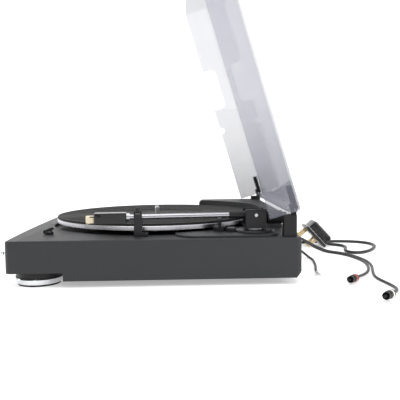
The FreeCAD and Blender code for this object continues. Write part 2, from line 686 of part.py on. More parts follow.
def arm_pieces():
    """Everything that tips with the arm: tube, bearing block, weight and headshell."""
    x, y, z = ARM_PIVOT
    collar_far = 33.0
    block_half = YOKE_INSIDE / 2 - 1.2
    bearing = soft_block(x - block_half, x + block_half, y - 11, y + 11, z - 7.5, z + 6.5, 1.5, 1.0)
    bearing = bearing.fuse(rod(TUBE_RADIUS + 1.5, Vector(x, y - 10, z), Vector(0, -1, 0), collar_far - 10))
    tube_end = ARM_LENGTH - SHELL_LENGTH - 14.0
    bearing = bearing.cut(rod(TUBE_RADIUS, Vector(x, y - 6, z), Vector(0, -1, 0), 60))
    for side in (-1, 1):
        cup = Part.makeCone(1.7, 0.8, 2.0, Vector(x + side * block_half, y, z), Vector(-side, 0, 0))
        bearing = bearing.cut(cup)
    rear = Vector(x, y + 11, z)
    bearing = bearing.fuse(rod(2.6, rear, Y_AXIS, 30.0))
    weight_start = Vector(x, y + WEIGHT_START, z - COUNTERWEIGHT_DROP)
    weight = rod(COUNTERWEIGHT_RADIUS, weight_start, Y_AXIS, COUNTERWEIGHT_LENGTH)
    rims = [e for e in weight.Edges if e.Length > 2 * COUNTERWEIGHT_RADIUS + 1]
    weight = weight.makeFillet(0.8, rims)
    weight = weight.cut(rod(2.6 + RUNNING_GAP, rear, Y_AXIS, 40.0))
    arm_tube = rod(TUBE_RADIUS, Vector(x, y - 6, z), Vector(0, -1, 0), tube_end - 6)
    arm_tube = arm_tube.cut(rod(TUBE_RADIUS - 0.8, Vector(x, y - 5, z), Vector(0, -1, 0), tube_end + 5))
    collar = rod(TUBE_RADIUS + 1.8, Vector(x, y - tube_end, z), Vector(0, -1, 0), 4.0)
    pieces = {
        "arm_bearing_block": bearing, "counterweight": weight,
        "arm_tube": arm_tube, "headshell_collar": collar,
    }
    pieces.update(headshell_pieces(x, y - tube_end - 4.0, z))
    return {name: to_rest(shape) for name, shape in pieces.items()}


def headshell_pieces(x, y, z):
    """Headshell with finger lift, cartridge and stylus, ahead of the collar at y."""
    half = SHELL_WIDTH / 2
    top = z + SHELL_HEIGHT * 0.46
    low = top - SHELL_HEIGHT
    front = y - SHELL_LENGTH
    shell = soft_block(x - half, x + half, front, y, low, top, 3.0, 1.5)
    shell = shell.cut(block(x - half + 2, x + half - 2, front - 1, y - 9, low - 1, top - 2.5))
    lift_z = top - 4.0
    lift = prism([
        Vector(x + half - 0.5, front + 9, lift_z), Vector(x + half + 9, front + 4, lift_z),
        Vector(x + half + 9, front - 4, lift_z), Vector(x + half + 7, front - 4, lift_z),
        Vector(x + half + 7, front + 2.5, lift_z), Vector(x + half - 0.5, front + 5.5, lift_z),
    ], Vector(0, 0, 1.4)).cut(shell)
    cart = soft_block(x - half + 2.4, x + half - 2.4, front + 1, y - 12, low + 1.0, top - 2.5, 1.5)
    nose = soft_block(x - 5.0, x + 5.0, front - 10.0, front + 0.9, low + 0.8, low + 9.5, 1.8, 0.8)
    needle = prism([
        Vector(x - 0.5, front - 2.0, low + 1.6), Vector(x - 0.5, front - 9.0, low - 1.3),
        Vector(x - 0.5, front - 9.6, low - 1.1), Vector(x - 0.5, front - 6.0, low + 1.6),
    ], Vector(1.0, 0, 0))
    tip = Part.makeCone(0.5, 0.12, 1.0, Vector(x, front - 9.1, low - 1.3), Vector(0, 0, -1))
    return {
        "headshell": shell, "finger_lift": lift, "cartridge": cart,
        "stylus_holder": nose.fuse(needle).fuse(tip),
    }


def lifter():
    """The damped lifter: guide, sliding post and curved bar under the arm."""
    x, y = lift_post_place()
    bar_top = ARM_HEIGHT - TUBE_RADIUS - 0.5
    bar_low = bar_top - 2.4
    guide = lathe([
        (2.5 + RUNNING_GAP, DECK - 18.0), (4.9, DECK - 18.0), (4.9, BOARD), (8.0, BOARD),
        (8.0, BOARD + 5.0), (6.5, BOARD + 6.5), (2.5 + RUNNING_GAP, BOARD + 6.5)], x, y)
    dial_x, dial_y = x + 5.0, y + 16.0
    dial = lathe([
        (0, BOARD), (8.0, BOARD), (8.0, BOARD + 3.6), (7.0, BOARD + 4.8), (0, BOARD + 4.8)], dial_x, dial_y)
    dial = dial.cut(disc(ARM_BASE_RADIUS + FIT_GAP, BOARD - 1, BOARD + 6, *PIVOT_PLACE))
    guide = guide.fuse(dial.cut(disc(6.0, BOARD - 1, BOARD + 9, x, y)))
    post = disc(2.5, DECK - 17.0, bar_low, x, y)
    bar = tube(LIFT_RADIUS + 2.5, LIFT_RADIUS - 2.5, bar_low, bar_top, ARM_PIVOT.x, ARM_PIVOT.y)
    reach = 90.0
    wedge = [Vector(ARM_PIVOT.x, ARM_PIVOT.y, bar_low - 1)]
    for inward in (-8.0, 17.0, 42.0):
        a = math.radians(ARM_REST_ANGLE - inward)
        wedge.append(Vector(
            ARM_PIVOT.x + reach * math.sin(a), ARM_PIVOT.y - reach * math.cos(a), bar_low - 1))
    bar = bar.common(prism(wedge, Vector(0, 0, 10)))
    return {"lift_guide": guide, "lift_bar": bar.fuse(post)}


def arm_rest():
    """The rest post with its cradle, and the clip that swings over the arm."""
    c = arm_point(REST_DISTANCE)
    y0, y1 = c.y - 5.0, c.y + 5.0
    floor = ARM_HEIGHT - TUBE_RADIUS - 0.4
    inner, outer = c.x - 3.6, c.x + 8.4
    post = block(inner, outer, y0, y1, DECK, floor)
    post = post.fuse(block(c.x + TUBE_RADIUS + 0.6, outer, y0, y1, floor - 1, floor + 8.0))
    post = post.fuse(soft_block(inner, outer, y1 - 1, y1 + 7.0, DECK, DECK + 4.0, 0.9))
    hinge = Vector(c.x + 6.3, y0, floor + 10.6)
    for ear_y in (y0, y1 - 2.4):
        post = post.fuse(rod(2.0, Vector(hinge.x, ear_y, hinge.z), Y_AXIS, 2.4))
        post = post.fuse(block(hinge.x - 2.0, hinge.x + 2.0, ear_y, ear_y + 2.4, floor + 7.5, hinge.z))
    post = post.fuse(rod(0.95, hinge, Y_AXIS, 10.0))
    clip = rod(1.8, Vector(hinge.x, y0 + 2.7, hinge.z), Y_AXIS, 4.6)
    clip = clip.fuse(block(hinge.x - 1.2, hinge.x + 1.2, y0 + 2.7, y0 + 7.3, hinge.z, hinge.z + CLIP_LENGTH))
    clip = clip.cut(rod(1.0, Vector(hinge.x, y0, hinge.z), Y_AXIS, 12))
    return {"arm_rest_post": post, "arm_rest_clip": clip}, hinge


# --------------------------------------------------------------------------- lid
def open_lid(shape):
    """Turns a piece built on the closed lid to the lid's open place."""
    return turned(shape, HINGE, X_AXIS, -LID_OPEN_ANGLE)


def lid():
    """The smoked lid: top, three full walls, a short rear lip and a shaped left edge."""
    x0, x1 = CX - LID_WIDTH / 2, CX + LID_WIDTH / 2
    outer = soft_block(x0, x1, LID_FRONT, LID_REAR, LID_BOTTOM, LID_TOP, LID_CORNER, 3.0)
    w = LID_WALL
    inner = soft_block(
        x0 + w, x1 - w, LID_FRONT + w, LID_REAR - w, LID_BOTTOM - 1, LID_TOP - w, LID_CORNER - w)
    shape = outer.cut(inner)
    side = 12.0
    shape = shape.cut(block(
        x0 + side, x1 - side, LID_REAR - w - 1, LID_REAR + 1, LID_BOTTOM - 1, LID_TOP - LID_LIP))
    for x in hinge_places().values():
        half = POST_WIDTH / 2 + 1.2
        shape = shape.cut(block(
            x - half, x + half, LID_REAR - w - 3.6, LID_REAR + 1, LID_BOTTOM - 1, LID_TOP - w))
        shape = shape.cut(block(
            x - half, x + half, LID_REAR - w, LID_REAR + 1, LID_TOP - w - 1, LID_TOP + 1))
    far = x0 - 1
    notch = rod(6.0, Vector(far, 49.0, LID_BOTTOM + 1.5), X_AXIS, 8.0)
    bay = soft_bay(far, -62.0, 10.0, 22.0)
    return open_lid(shape.cut(notch).cut(bay))


def soft_bay(x, y0, y1, depth):
    """A round-cornered bay cut up into the left wall's lower edge."""
    z0 = LID_BOTTOM - 1
    shape = block(x, x + 8.0, y0, y1, z0, LID_BOTTOM + depth)
    top = edges_where(shape, lambda p: abs(p.z - LID_BOTTOM - depth) < 1e-6)
    along_x = [e for e in top if abs(e.Vertexes[0].Point.x - e.Vertexes[1].Point.x) > 1]
    return shape.makeFillet(10.0, along_x)


def hinge_set(x):
    """One hinge: post on the plinth, leaf on the lid, and the pin between them."""
    y, z = HINGE.y, HINGE.z
    half = POST_WIDTH / 2
    y0 = LID_REAR - POST_DEPTH
    post = soft_block(x - half, x + half, y0, LID_REAR, DECK, DECK + POST_HEIGHT, 1.2, 1.0)
    tongue = block(x - 3.0, x + 3.0, y - HINGE_EAR_RADIUS, y + HINGE_BACK, DECK + POST_HEIGHT - 2, z)
    tongue = tongue.fuse(rod(HINGE_EAR_RADIUS, Vector(x - 3.0, y, z), X_AXIS, 6.0))
    bore = rod(HINGE_PIN_RADIUS + RUNNING_GAP, Vector(x - half, y, z), X_AXIS, POST_WIDTH)
    post = post.fuse(tongue).cut(bore)
    pin = rod(HINGE_PIN_RADIUS, Vector(x - half + 0.2, y, z), X_AXIS, POST_WIDTH - 0.4)
    under = LID_TOP - LID_WALL
    leaf = soft_block(x - half, x + half, y - 30.0, y - 6.0, under - 5.0, under, 1.5)
    leaf = leaf.fuse(block(x - half, x + half, y - 7.0, y - 0.2, under - 1.3, under))
    for ear in (x - half, x + 3.3):
        width = half - 3.3
        leaf = leaf.fuse(rod(HINGE_EAR_RADIUS, Vector(ear, y, z), X_AXIS, width))
        leaf = leaf.fuse(block(ear, ear + width, y - 7.0, y, z - HINGE_EAR_RADIUS, under))
    leaf = leaf.cut(rod(HINGE_PIN_RADIUS, Vector(x - half - 1, y, z), X_AXIS, POST_WIDTH + 2))
    return {"hinge_post": post, "hinge_leaf": open_lid(leaf), "hinge_pin": pin}


# -------------------------------------------------------------------- controls
def front_button(x):
    """A front push button: a bowed cap with a stem reaching into the plinth."""
    width, height = BUTTON_SIZE
    level = FLOOR + BUTTON_LEVEL
    face = front_face_y(x)
    cap = block(x - width / 2, x + width / 2, face - BUTTON_PROUD, face + 8.0,
                level - height / 2, level + height / 2)
    front_rim = edges_where(cap, lambda p: abs(p.y - face + BUTTON_PROUD) < 1e-6)
    cap = cap.makeFillet(0.9, front_rim)
    return cap.fuse(block(x - 3, x + 3, face + 8.0, face + 26.0, level - 2, level + 2))


def power_knob():
    """The small round power button at the right of the front."""
    level = FLOOR + KNOB_LEVEL
    face = front_face_y(KNOB_PLACE_X)
    stem = rod(1.3, Vector(KNOB_PLACE_X, face - KNOB_PROUD + 4.0, level), Y_AXIS, 26.0)
    ball_end = rod(KNOB_RADIUS, Vector(KNOB_PLACE_X, face - KNOB_PROUD, level), Y_AXIS, 5.0)
    rims = [e for e in ball_end.Edges if e.Length > 2 * KNOB_RADIUS * 3]
    return ball_end.makeFillet(1.6, rims).fuse(stem)


def size_selector():
    """The record-size lever: a hub on the deck with a slanted paddle, and its spindle."""
    x, y = SELECTOR_PLACE
    hub = lathe([(0, DECK + 0.2), (5.5, DECK + 0.2), (5.5, DECK + 3.0), (4.5, DECK + 4.2), (0, DECK + 4.2)], x, y)
    paddle = prism([
        Vector(x - 2.4, y - 7.0, DECK + 1.2), Vector(x - 2.4, y - 7.0, DECK + 5.0),
        Vector(x - 2.4, y + 5.5, DECK + 9.8), Vector(x - 2.4, y + 7.0, DECK + 8.4),
        Vector(x - 2.4, y + 1.0, DECK + 1.2),
    ], Vector(4.8, 0, 0))
    stem = disc(3.0, DECK - 12.0, DECK + 0.2, x, y)
    return {"size_selector": hub.fuse(paddle).fuse(stem)}


# ----------------------------------------------------------------- cords and plugs
SIGNAL_EXIT_Y = 216.0
SIGNAL_Z = FLOOR + SIGNAL_CORD / 2
SIGNAL_BARREL = 4.6
FAR_PLUG_Z = FLOOR + SIGNAL_BARREL
MAINS_Z = FLOOR + MAINS_CORD / 2
GROUND_Z = FLOOR + GROUND_CORD / 2
SOCKET_Z = FLOOR + REAR_SOCKET_LEVEL

SIGNAL_ROUTE = {
    "right": [
        (-20, SIGNAL_EXIT_Y, SOCKET_Z), (-20, 226, SOCKET_Z), (-24, 239, -55), (-26, 254, -64.5),
        (-20, 269, SIGNAL_Z), (-7, 283, SIGNAL_Z), (13, 293, SIGNAL_Z), (38, 299, SIGNAL_Z),
        (66, 301, SIGNAL_Z), (92, 297, SIGNAL_Z), (117, 290, SIGNAL_Z), (140, 280, SIGNAL_Z),
        (160, 268, FAR_PLUG_Z - 1.4), (176, 257, FAR_PLUG_Z)],
    "left": [
        (-34, SIGNAL_EXIT_Y, SOCKET_Z), (-34, 226, SOCKET_Z), (-35, 240, -54), (-35, 256, -63.5),
        (-28, 272, SIGNAL_Z), (-13, 287, SIGNAL_Z), (9, 298, SIGNAL_Z), (36, 304.4, SIGNAL_Z),
        (66, 306.4, SIGNAL_Z), (94, 302, SIGNAL_Z), (121, 294, SIGNAL_Z), (146, 286, SIGNAL_Z),
        (172, 281, SIGNAL_Z), (198, 284, SIGNAL_Z), (222, 286, SIGNAL_Z), (243, 281, FAR_PLUG_Z - 1.4),
        (257, 271, FAR_PLUG_Z)],
}
GROUND_ROUTE = [
    (GROUND_X, REAR + 9.0, SOCKET_Z), (GROUND_X, 203, SOCKET_Z), (GROUND_X - 1, 214, -56),
    (7, 225, -65), (22, 230, GROUND_Z), (44, 231, GROUND_Z), (68, 228, GROUND_Z),
    (92, 224, GROUND_Z), (114, 218.5, GROUND_Z), (132, 216, GROUND_Z)]
MAINS_IN_ROUTE = [
    (GLAND_X, REAR + 24.0, FLOOR + GLAND_LEVEL), (GLAND_X, 220, FLOOR + GLAND_LEVEL), (-122, 231, -47),
    (-128, 240, -54.5), (-138, 245, -58.5)]
MAINS_OUT_ROUTE = [
    (-118.6, 217, MAINS_Z), (-118, 232, MAINS_Z), (-120, 252, MAINS_Z), (-125, 276, MAINS_Z),
    (-128, 302, MAINS_Z), (-125, 328, MAINS_Z), (-116, 350, MAINS_Z), (-97, 364, MAINS_Z),
    (-73, 364, MAINS_Z), (-49, 354, MAINS_Z), (-27, 341, MAINS_Z), (-11, 326, MAINS_Z),
    (-5, 312, MAINS_Z), (-13, 301.5, MAINS_Z), (-28, 300, MAINS_Z), (-47, 306, MAINS_Z),
    (-64, 311.5, MAINS_Z), (-80, 309, MAINS_Z), (-90, 299, MAINS_Z), (-92, 287, MAINS_Z + 1.2)]
PLUG_PLACE = (-92.0, 277.0)  # middle of the plug's lower edge on the floor


def rounded_path(points):
    """Straight runs joined by tangent arcs, and the smallest arc's radius."""
    corners = [Vector(*p) for p in points]
    edges = []
    start = corners[0]
    smallest = 1e9
    for before, here, after in zip(corners, corners[1:], corners[2:]):
        run_in, run_out = here - before, after - here
        u, v = Vector(run_in), Vector(run_out)
        u.normalize()
        v.normalize()
        turn = u.getAngle(v)
        reach = 0.45 * min(run_in.Length, run_out.Length)
        radius = reach / math.tan(turn / 2)
        smallest = min(smallest, radius)
        inward = v - u
        inward.normalize()
        rise = radius / math.cos(turn / 2) - radius
        arc_in, arc_out = here - u * reach, here + v * reach
        edges.append(Part.makeLine(start, arc_in))
        edges.append(Part.Arc(arc_in, here + inward * rise, arc_out).toShape())
        start = arc_out
    edges.append(Part.makeLine(start, corners[-1]))
    return Part.Wire(edges), smallest


def cord_tube(name, points, diameter):
    """The plain tube of a cord along its route, with its radii and volume printed."""
    path, smallest = rounded_path(points)
    first, second = Vector(*points[0]), Vector(*points[1])
    section = Part.Wire([Part.makeCircle(diameter / 2, first, second - first)])
    shape = path.makePipeShell([section], True, False)
    expected = math.pi * diameter ** 2 / 4 * path.Length
    print(f"{name}: {path.Length:.0f} mm, tightest arc {smallest:.1f} mm, "
          f"volume {shape.Volume:.0f} of {expected:.0f} mm3")
    return shape


def route_end(points):
    """The last point of a route and the direction it leaves in."""
    end, before = Vector(*points[-1]), Vector(*points[-2])
    direction = end - before
    return end, direction.normalize()


def signal_plug(start, direction, scale=1.0):
    """A signal plug: tapered relief, ribbed barrel, skirt and centre pin."""
    relief = Part.makeCone(SIGNAL_CORD / 2 + 0.3, 3.4, 10.0, start, direction)
    barrel = rod(SIGNAL_BARREL * scale, start + direction * 10.0, direction, 14.0)
    skirt = rod(4.2, start + direction * 24.0, direction, 7.0)
    skirt = skirt.cut(rod(3.5, start + direction * 24.5, direction, 8.0))
    pin = rod(1.6, start + direction * 24.0, direction, 12.0)
    return relief.fuse(barrel), skirt.fuse(pin)


def signal_sockets():
    """The two sockets in the rear wall, each a flange and a hollow collar."""
    sockets = {}
    for side, x in SOCKET_X.items():
        at = Vector(x, REAR - 6.0, SOCKET_Z)
        flange = rod(6.2, Vector(x, REAR, SOCKET_Z), Y_AXIS, 1.5)
        collar = rod(3.3, at, Y_AXIS, 13.0)
        body = collar.fuse(flange).fuse(rod(4.9, at, Y_AXIS, 6.0))
        bore = rod(1.8, Vector(x, REAR - 5.0, SOCKET_Z), Y_AXIS, 20.0)
        sockets[side] = body.cut(bore)
    return sockets


def inserted_plug(x):
    """A signal plug pushed onto its socket, grip and metal as two pieces."""
    y0 = REAR + 1.6
    z = SOCKET_Z
    grip = rod(4.9, Vector(x, y0 + 5.0, z), Y_AXIS, 13.0)
    grip = grip.cut(rod(4.1, Vector(x, y0 + 4.0, z), Y_AXIS, 6.0))
    relief_length = SIGNAL_EXIT_Y - (y0 + 18.0)
    grip = grip.fuse(Part.makeCone(4.0, SIGNAL_CORD / 2 + 0.2, relief_length, Vector(x, y0 + 18.0, z), Y_AXIS))
    metal = rod(4.1, Vector(x, y0, z), Y_AXIS, 9.9)
    metal = metal.cut(rod(3.5, Vector(x, y0 - 1, z), Y_AXIS, 8.0))
    metal = metal.fuse(rod(1.6, Vector(x, y0 - 4.0, z), Y_AXIS, 12.0))
    return grip, metal


def mains_gland():
    """The moulded strain relief of the mains cord in the rear wall."""
    at = Vector(GLAND_X, REAR - WALL, FLOOR + GLAND_LEVEL)
    body = rod(4.2, at, Y_AXIS, WALL)
    body = body.fuse(rod(6.5, at + Vector(0, WALL, 0), Y_AXIS, 2.0))
    body = body.fuse(Part.makeCone(5.0, MAINS_CORD / 2 + 0.4, 22.0, at + Vector(0, WALL + 2.0, 0), Y_AXIS))
    return body


def cord_coil():
    """The closed outer form of the tied coil of spare mains cord, lying on the floor."""
    x, y = COIL_PLACE
    half_width = COIL_TURNS_WIDE * MAINS_CORD / 2
    height = COIL_TURNS_HIGH * MAINS_CORD
    coil = tube(COIL_MEAN_RADIUS + half_width, COIL_MEAN_RADIUS - half_width, FLOOR, FLOOR + height, x, y)
    rims = [e for e in coil.Edges if e.Length > 50]
    return coil.makeFillet(2.0, rims)


def mains_plug():
    """The mains plug, leaning on its lower edge and the tips of its two short blades."""
    base = soft_block(-PLUG_WIDTH / 2, PLUG_WIDTH / 2, 0, PLUG_LENGTH, 0, 5.0, 5.0)
    body = soft_block(3.0 - PLUG_WIDTH / 2, PLUG_WIDTH / 2 - 3.0, 1.5, PLUG_LENGTH - 3.0,
                      5.6, PLUG_DEPTH - 1.5, 4.0, 1.5)
    neck = soft_block(4.0 - PLUG_WIDTH / 2, PLUG_WIDTH / 2 - 4.0, 2.5, PLUG_LENGTH - 4.0, 5.0, 5.6, 3.5)
    back = soft_block(6.0 - PLUG_WIDTH / 2, PLUG_WIDTH / 2 - 6.0, 4.0, PLUG_LENGTH - 5.5,
                      PLUG_DEPTH - 1.5, PLUG_DEPTH, 3.0)
    row = 18.0
    blade = 17.7
    pins = [block(dx - 3.2, dx + 3.2, row - 2.0, row + 2.0, -blade, 0) for dx in (-11.1, 11.1)]
    pins.append(block(-2.0, 2.0, row + 18.2, row + 26.2, -22.7, 0))
    relief = Part.makeCone(5.0, MAINS_CORD / 2 + 0.4, 6.0, Vector(0, 1.5, 10.0), Vector(0, -1, 0))
    plug = base.fuse([neck, body, back, relief] + pins)
    tilt = math.degrees(math.atan2(blade, row - 2.0))
    plug = turned(plug, Vector(0, 0, 0), Z_AXIS, 180.0)
    plug = turned(plug, Vector(0, 0, 0), X_AXIS, -tilt)
    plug.translate(Vector(PLUG_PLACE[0], PLUG_PLACE[1], FLOOR + 0.02))
    return plug


def ground_lug():
    """The spade lug on the ground wire's end, and the ground post on the rear wall."""
    end, way = route_end(GROUND_ROUTE)
    sleeve = rod(GROUND_CORD / 2, end, way, 8.0)
    heading = math.degrees(math.atan2(way.y, way.x))
    blade = block(0, 12.0, -3.5, 3.5, -0.5, 0.5).cut(block(6.0, 13.0, -1.8, 1.8, -1, 1))
    blade = turned(blade, Vector(0, 0, 0), Z_AXIS, heading)
    blade.translate(end + way * 8.0)
    post = rod(1.9, Vector(GROUND_X, REAR - 4.0, SOCKET_Z), Y_AXIS, 4.0)
    post = post.fuse(rod(4.0, Vector(GROUND_X, REAR, SOCKET_Z), Y_AXIS, 9.0))
    return sleeve.fuse(blade), post


# -------------------------------------------------------------------------- nodes
def housing_nodes():
    """Plinth, panel, base and feet."""
    panel = front_panel()
    nodes = {
        "plinth_shell": plinth_shell(panel), "platter_pan": platter_pan(), "rear_shelf": rear_shelf(),
    }
    for cut in front_openings():
        panel = panel.cut(cut)
    nodes["front_panel"] = panel
    nodes["base_plate"] = base_plate()
    nodes["base_screws"] = base_screws()
    feet = [front_foot(x, y) for x, y in front_foot_places().values()]
    for piece in ("cup", "ring", "pad"):
        nodes[f"front_foot_{piece}s"] = group([foot[piece] for foot in feet])
    nodes["rear_feet"] = group([rear_foot(x, y) for x, y in rear_foot_places().values()])
    return nodes


def drive_nodes():
    """Platter, bearing, motor, gears and electrics."""
    nodes = {
        "platter": platter(), "platter_mat": platter_mat(), "spindle": spindle(),
        "drive_pinion": drive_pinion(), "bearing_housing": bearing_housing(),
        "cam_gear": cam_gear(), "drive_belt": drive_belt(),
    }
    nodes.update(motor_parts())
    nodes.update(electrics())
    return nodes


def arm_nodes():
    """Tonearm, lifter and rest."""
    nodes = {}
    nodes.update(arm_base())
    nodes.update(arm_yoke())
    nodes.update(arm_pieces())
    nodes.update(lifter())
    rest, hinge = arm_rest()
    nodes.update(rest)
    print("rest clip hinge", [round(v, 3) for v in hinge])
    return nodes


def lid_nodes():
    """Lid and hinges."""
    nodes = {"lid": lid()}
    sets = [hinge_set(x) for x in hinge_places().values()]
    nodes["hinge_posts"] = group([s["hinge_post"] for s in sets])
    nodes["hinge_leaves"] = group([s["hinge_leaf"] for s in sets])
    nodes["hinge_pins"] = group([s["hinge_pin"] for s in sets])
    return nodes


def control_nodes():
    """Front buttons, power knob and size selector."""
    nodes = {f"{name}_button": front_button(x) for name, x in button_places().items()}
    nodes["power_knob"] = power_knob()
    nodes.update(size_selector())
    return nodes


def cord_nodes():
    """Sockets, glands, cords and plugs."""
    nodes = {"signal_sockets": group(list(signal_sockets().values())), "mains_gland": mains_gland()}
    for side, points in SIGNAL_ROUTE.items():
        nodes[f"signal_cord_{side}"] = cord_tube(f"signal_cord_{side}", points, SIGNAL_CORD)
        grip, metal = inserted_plug(SOCKET_X[side])
        nodes[f"signal_plug_{side}"] = group([grip, metal])
        far_grip, far_metal = signal_plug(*route_end(points))
        nodes[f"far_plug_{side}"] = group([far_grip, far_metal])
    nodes["ground_wire"] = cord_tube("ground_wire", GROUND_ROUTE, GROUND_CORD)
    nodes["ground_lug"], nodes["ground_post"] = ground_lug()
    nodes["mains_cord"] = group([
        cord_tube("mains_cord_in", MAINS_IN_ROUTE, MAINS_CORD),
        cord_tube("mains_cord_out", MAINS_OUT_ROUTE, MAINS_CORD)])
    nodes["mains_coil"] = cord_coil()
    nodes["mains_plug"] = mains_plug()
    return nodes


def main():
    """Builds every node and writes one STEP file for each."""
    os.makedirs("parts", exist_ok=True)
    nodes = {}
    for make in (housing_nodes, drive_nodes, arm_nodes, lid_nodes, control_nodes, cord_nodes):
        nodes.update(make())
    for name, shape in nodes.items():
        if not shape.isValid():
            print("not valid:", name)
        if not shape.Solids:
            print("no solid:", name)
        shape.exportStep(f"parts/{name}.step")
    print(len(nodes), "nodes")


main()
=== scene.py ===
"""Automatic belt-drive turntable: finishes, fine pieces, cords, studio and camera."""
import logging
import math
from dataclasses import dataclass
from enum import Enum
from typing import Sequence

import bmesh
import bpy
from mathutils import Matrix, Vector


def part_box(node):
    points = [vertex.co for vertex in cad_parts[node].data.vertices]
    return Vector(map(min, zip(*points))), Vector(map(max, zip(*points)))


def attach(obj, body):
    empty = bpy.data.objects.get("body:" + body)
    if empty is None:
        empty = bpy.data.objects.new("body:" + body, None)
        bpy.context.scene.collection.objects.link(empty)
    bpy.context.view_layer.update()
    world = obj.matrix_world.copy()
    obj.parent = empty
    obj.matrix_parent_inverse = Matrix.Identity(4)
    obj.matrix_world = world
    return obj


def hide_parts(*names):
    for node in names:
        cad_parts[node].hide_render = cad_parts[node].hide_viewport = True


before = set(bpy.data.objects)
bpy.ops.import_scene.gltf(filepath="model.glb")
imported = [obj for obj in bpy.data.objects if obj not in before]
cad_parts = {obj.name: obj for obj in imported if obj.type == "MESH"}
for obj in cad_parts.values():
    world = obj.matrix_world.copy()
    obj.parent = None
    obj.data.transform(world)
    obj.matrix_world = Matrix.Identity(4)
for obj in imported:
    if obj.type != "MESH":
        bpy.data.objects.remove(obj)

logging.basicConfig(level=logging.INFO, format="%(message)s")
LOG = logging.getLogger("turntable")

MM = 0.001
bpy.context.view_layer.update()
Point = tuple[float, float, float]
Colour = tuple[float, float, float]


def mm(*values: float) -> Vector:
    """A vector given in millimetres, in metres."""
    return Vector(values) * MM


# ------------------------------------------------------------------ shader maths
class Value:
    """A shader socket that Python arithmetic works on."""

    def __init__(self, sheet: "ShaderSheet", socket: bpy.types.NodeSocket) -> None:
        """Keeps the socket and the sheet that its maths goes on."""
        self.sheet = sheet
        self.socket = socket

    def _math(self, operation: str, first: object, second: object) -> "Value":
        """One Math node.

        Args:
            operation: the Math node's operation.
            first: the first number or socket.
            second: the second number or socket.

        Returns:
            The node's result.
        """
        return self.sheet.node("ShaderNodeMath", {"operation": operation}, {0: first, 1: second}).out()

    def __add__(self, other: object) -> "Value":
        """Sum."""
        return self._math("ADD", self, other)

    __radd__ = __add__

    def __sub__(self, other: object) -> "Value":
        """Difference."""
        return self._math("SUBTRACT", self, other)

    def __rsub__(self, other: object) -> "Value":
        """Reflected difference."""
        return self._math("SUBTRACT", other, self)

    def __mul__(self, other: object) -> "Value":
        """Product."""
        return self._math("MULTIPLY", self, other)

    __rmul__ = __mul__

    def __pow__(self, other: object) -> "Value":
        """Power."""
        return self._math("POWER", self, other)

    def at_least(self, other: object) -> "Value":
        """The larger of the two."""
        return self._math("MAXIMUM", self, other)

    def at_most(self, other: object) -> "Value":
        """The smaller of the two."""
        return self._math("MINIMUM", self, other)


class NodeHandle:
    """A made node whose outputs come out as Values."""

    def __init__(self, sheet: "ShaderSheet", made: bpy.types.Node) -> None:
        """Keeps the node."""
        self.sheet = sheet
        self.made = made

    def out(self, name: object = 0) -> Value:
        """One output, by name or number."""
        return Value(self.sheet, self.made.outputs[name])


class ShaderSheet:
    """The node tree of one finish."""

    def __init__(self, name: str) -> None:
        """Makes a material with a bare surface shader."""
        self.material = bpy.data.materials.new(name)
        self.material.use_nodes = True
        self.tree = self.material.node_tree
        self.surface = self.tree.nodes["Principled BSDF"]

    def node(self, kind: str, settings: dict, inputs: dict) -> NodeHandle:
        """Makes any node, sets it up and feeds it.

        Args:
            kind: the node's type.
            settings: attributes set before the inputs.
            inputs: values, Values or sockets by input name or number.

        Returns:
            A handle on the new node.
        """
        made = self.tree.nodes.new(kind)
        for key, value in settings.items():
            setattr(made, key, value)
        for key, value in inputs.items():
            self.feed(made.inputs[key], value)
        return NodeHandle(self, made)

    def feed(self, socket: bpy.types.NodeSocket, value: object) -> None:
        """Links or sets one input."""
        if isinstance(value, Value):
            self.tree.links.new(value.socket, socket)
        elif isinstance(value, tuple) and len(value) == 3 and socket.type == "RGBA":
            socket.default_value = (*value, 1.0)
        else:
            socket.default_value = value

    def set(self, **inputs: object) -> None:
        """Feeds the surface shader; underscores in the names stand for spaces."""
        for key, value in inputs.items():
            self.feed(self.surface.inputs[key.replace("_", " ")], value)

    def place(self) -> Value:
        """Object coordinates, in metres on the turntable's frame."""
        return self.node("ShaderNodeTexCoord", {}, {}).out("Object")

    def stretched(self, scale: Point) -> Value:
        """Object coordinates multiplied along each axis."""
        mapping = self.node("ShaderNodeMapping", {}, {"Vector": self.place(), "Scale": scale})
        return mapping.out()

    def noise(
            self, scale: float, detail: float = 3.0, rough: float = 0.5,
            at: Value | None = None) -> Value:
        """Fractal noise from 0 to 1."""
        where = at or self.place()
        inputs = {"Vector": where, "Scale": scale, "Detail": detail, "Roughness": rough}
        return self.node("ShaderNodeTexNoise", {}, inputs).out("Fac")

    def radius(self) -> Value:
        """Distance from the platter's axis, in metres."""
        flat = self.stretched((1.0, 1.0, 0.0))
        return self.node("ShaderNodeVectorMath", {"operation": "LENGTH"}, {0: flat}).out("Value")

    def axis(self, name: str) -> Value:
        """One coordinate of the object's place."""
        return self.node("ShaderNodeSeparateXYZ", {}, {0: self.place()}).out(name)

    def mix(self, mask: object, low: object, high: object) -> Value:
        """A colour between two, by a mask."""
        made = self.node("ShaderNodeMix", {"data_type": "RGBA"}, {"Factor": mask, 6: low, 7: high})
        return made.out(2)

    def bump(self, height: Value, strength: float, distance: float) -> Value:
        """A bump node on a height."""
        inputs = {"Height": height, "Strength": strength, "Distance": distance}
        return self.node("ShaderNodeBump", {}, inputs).out()


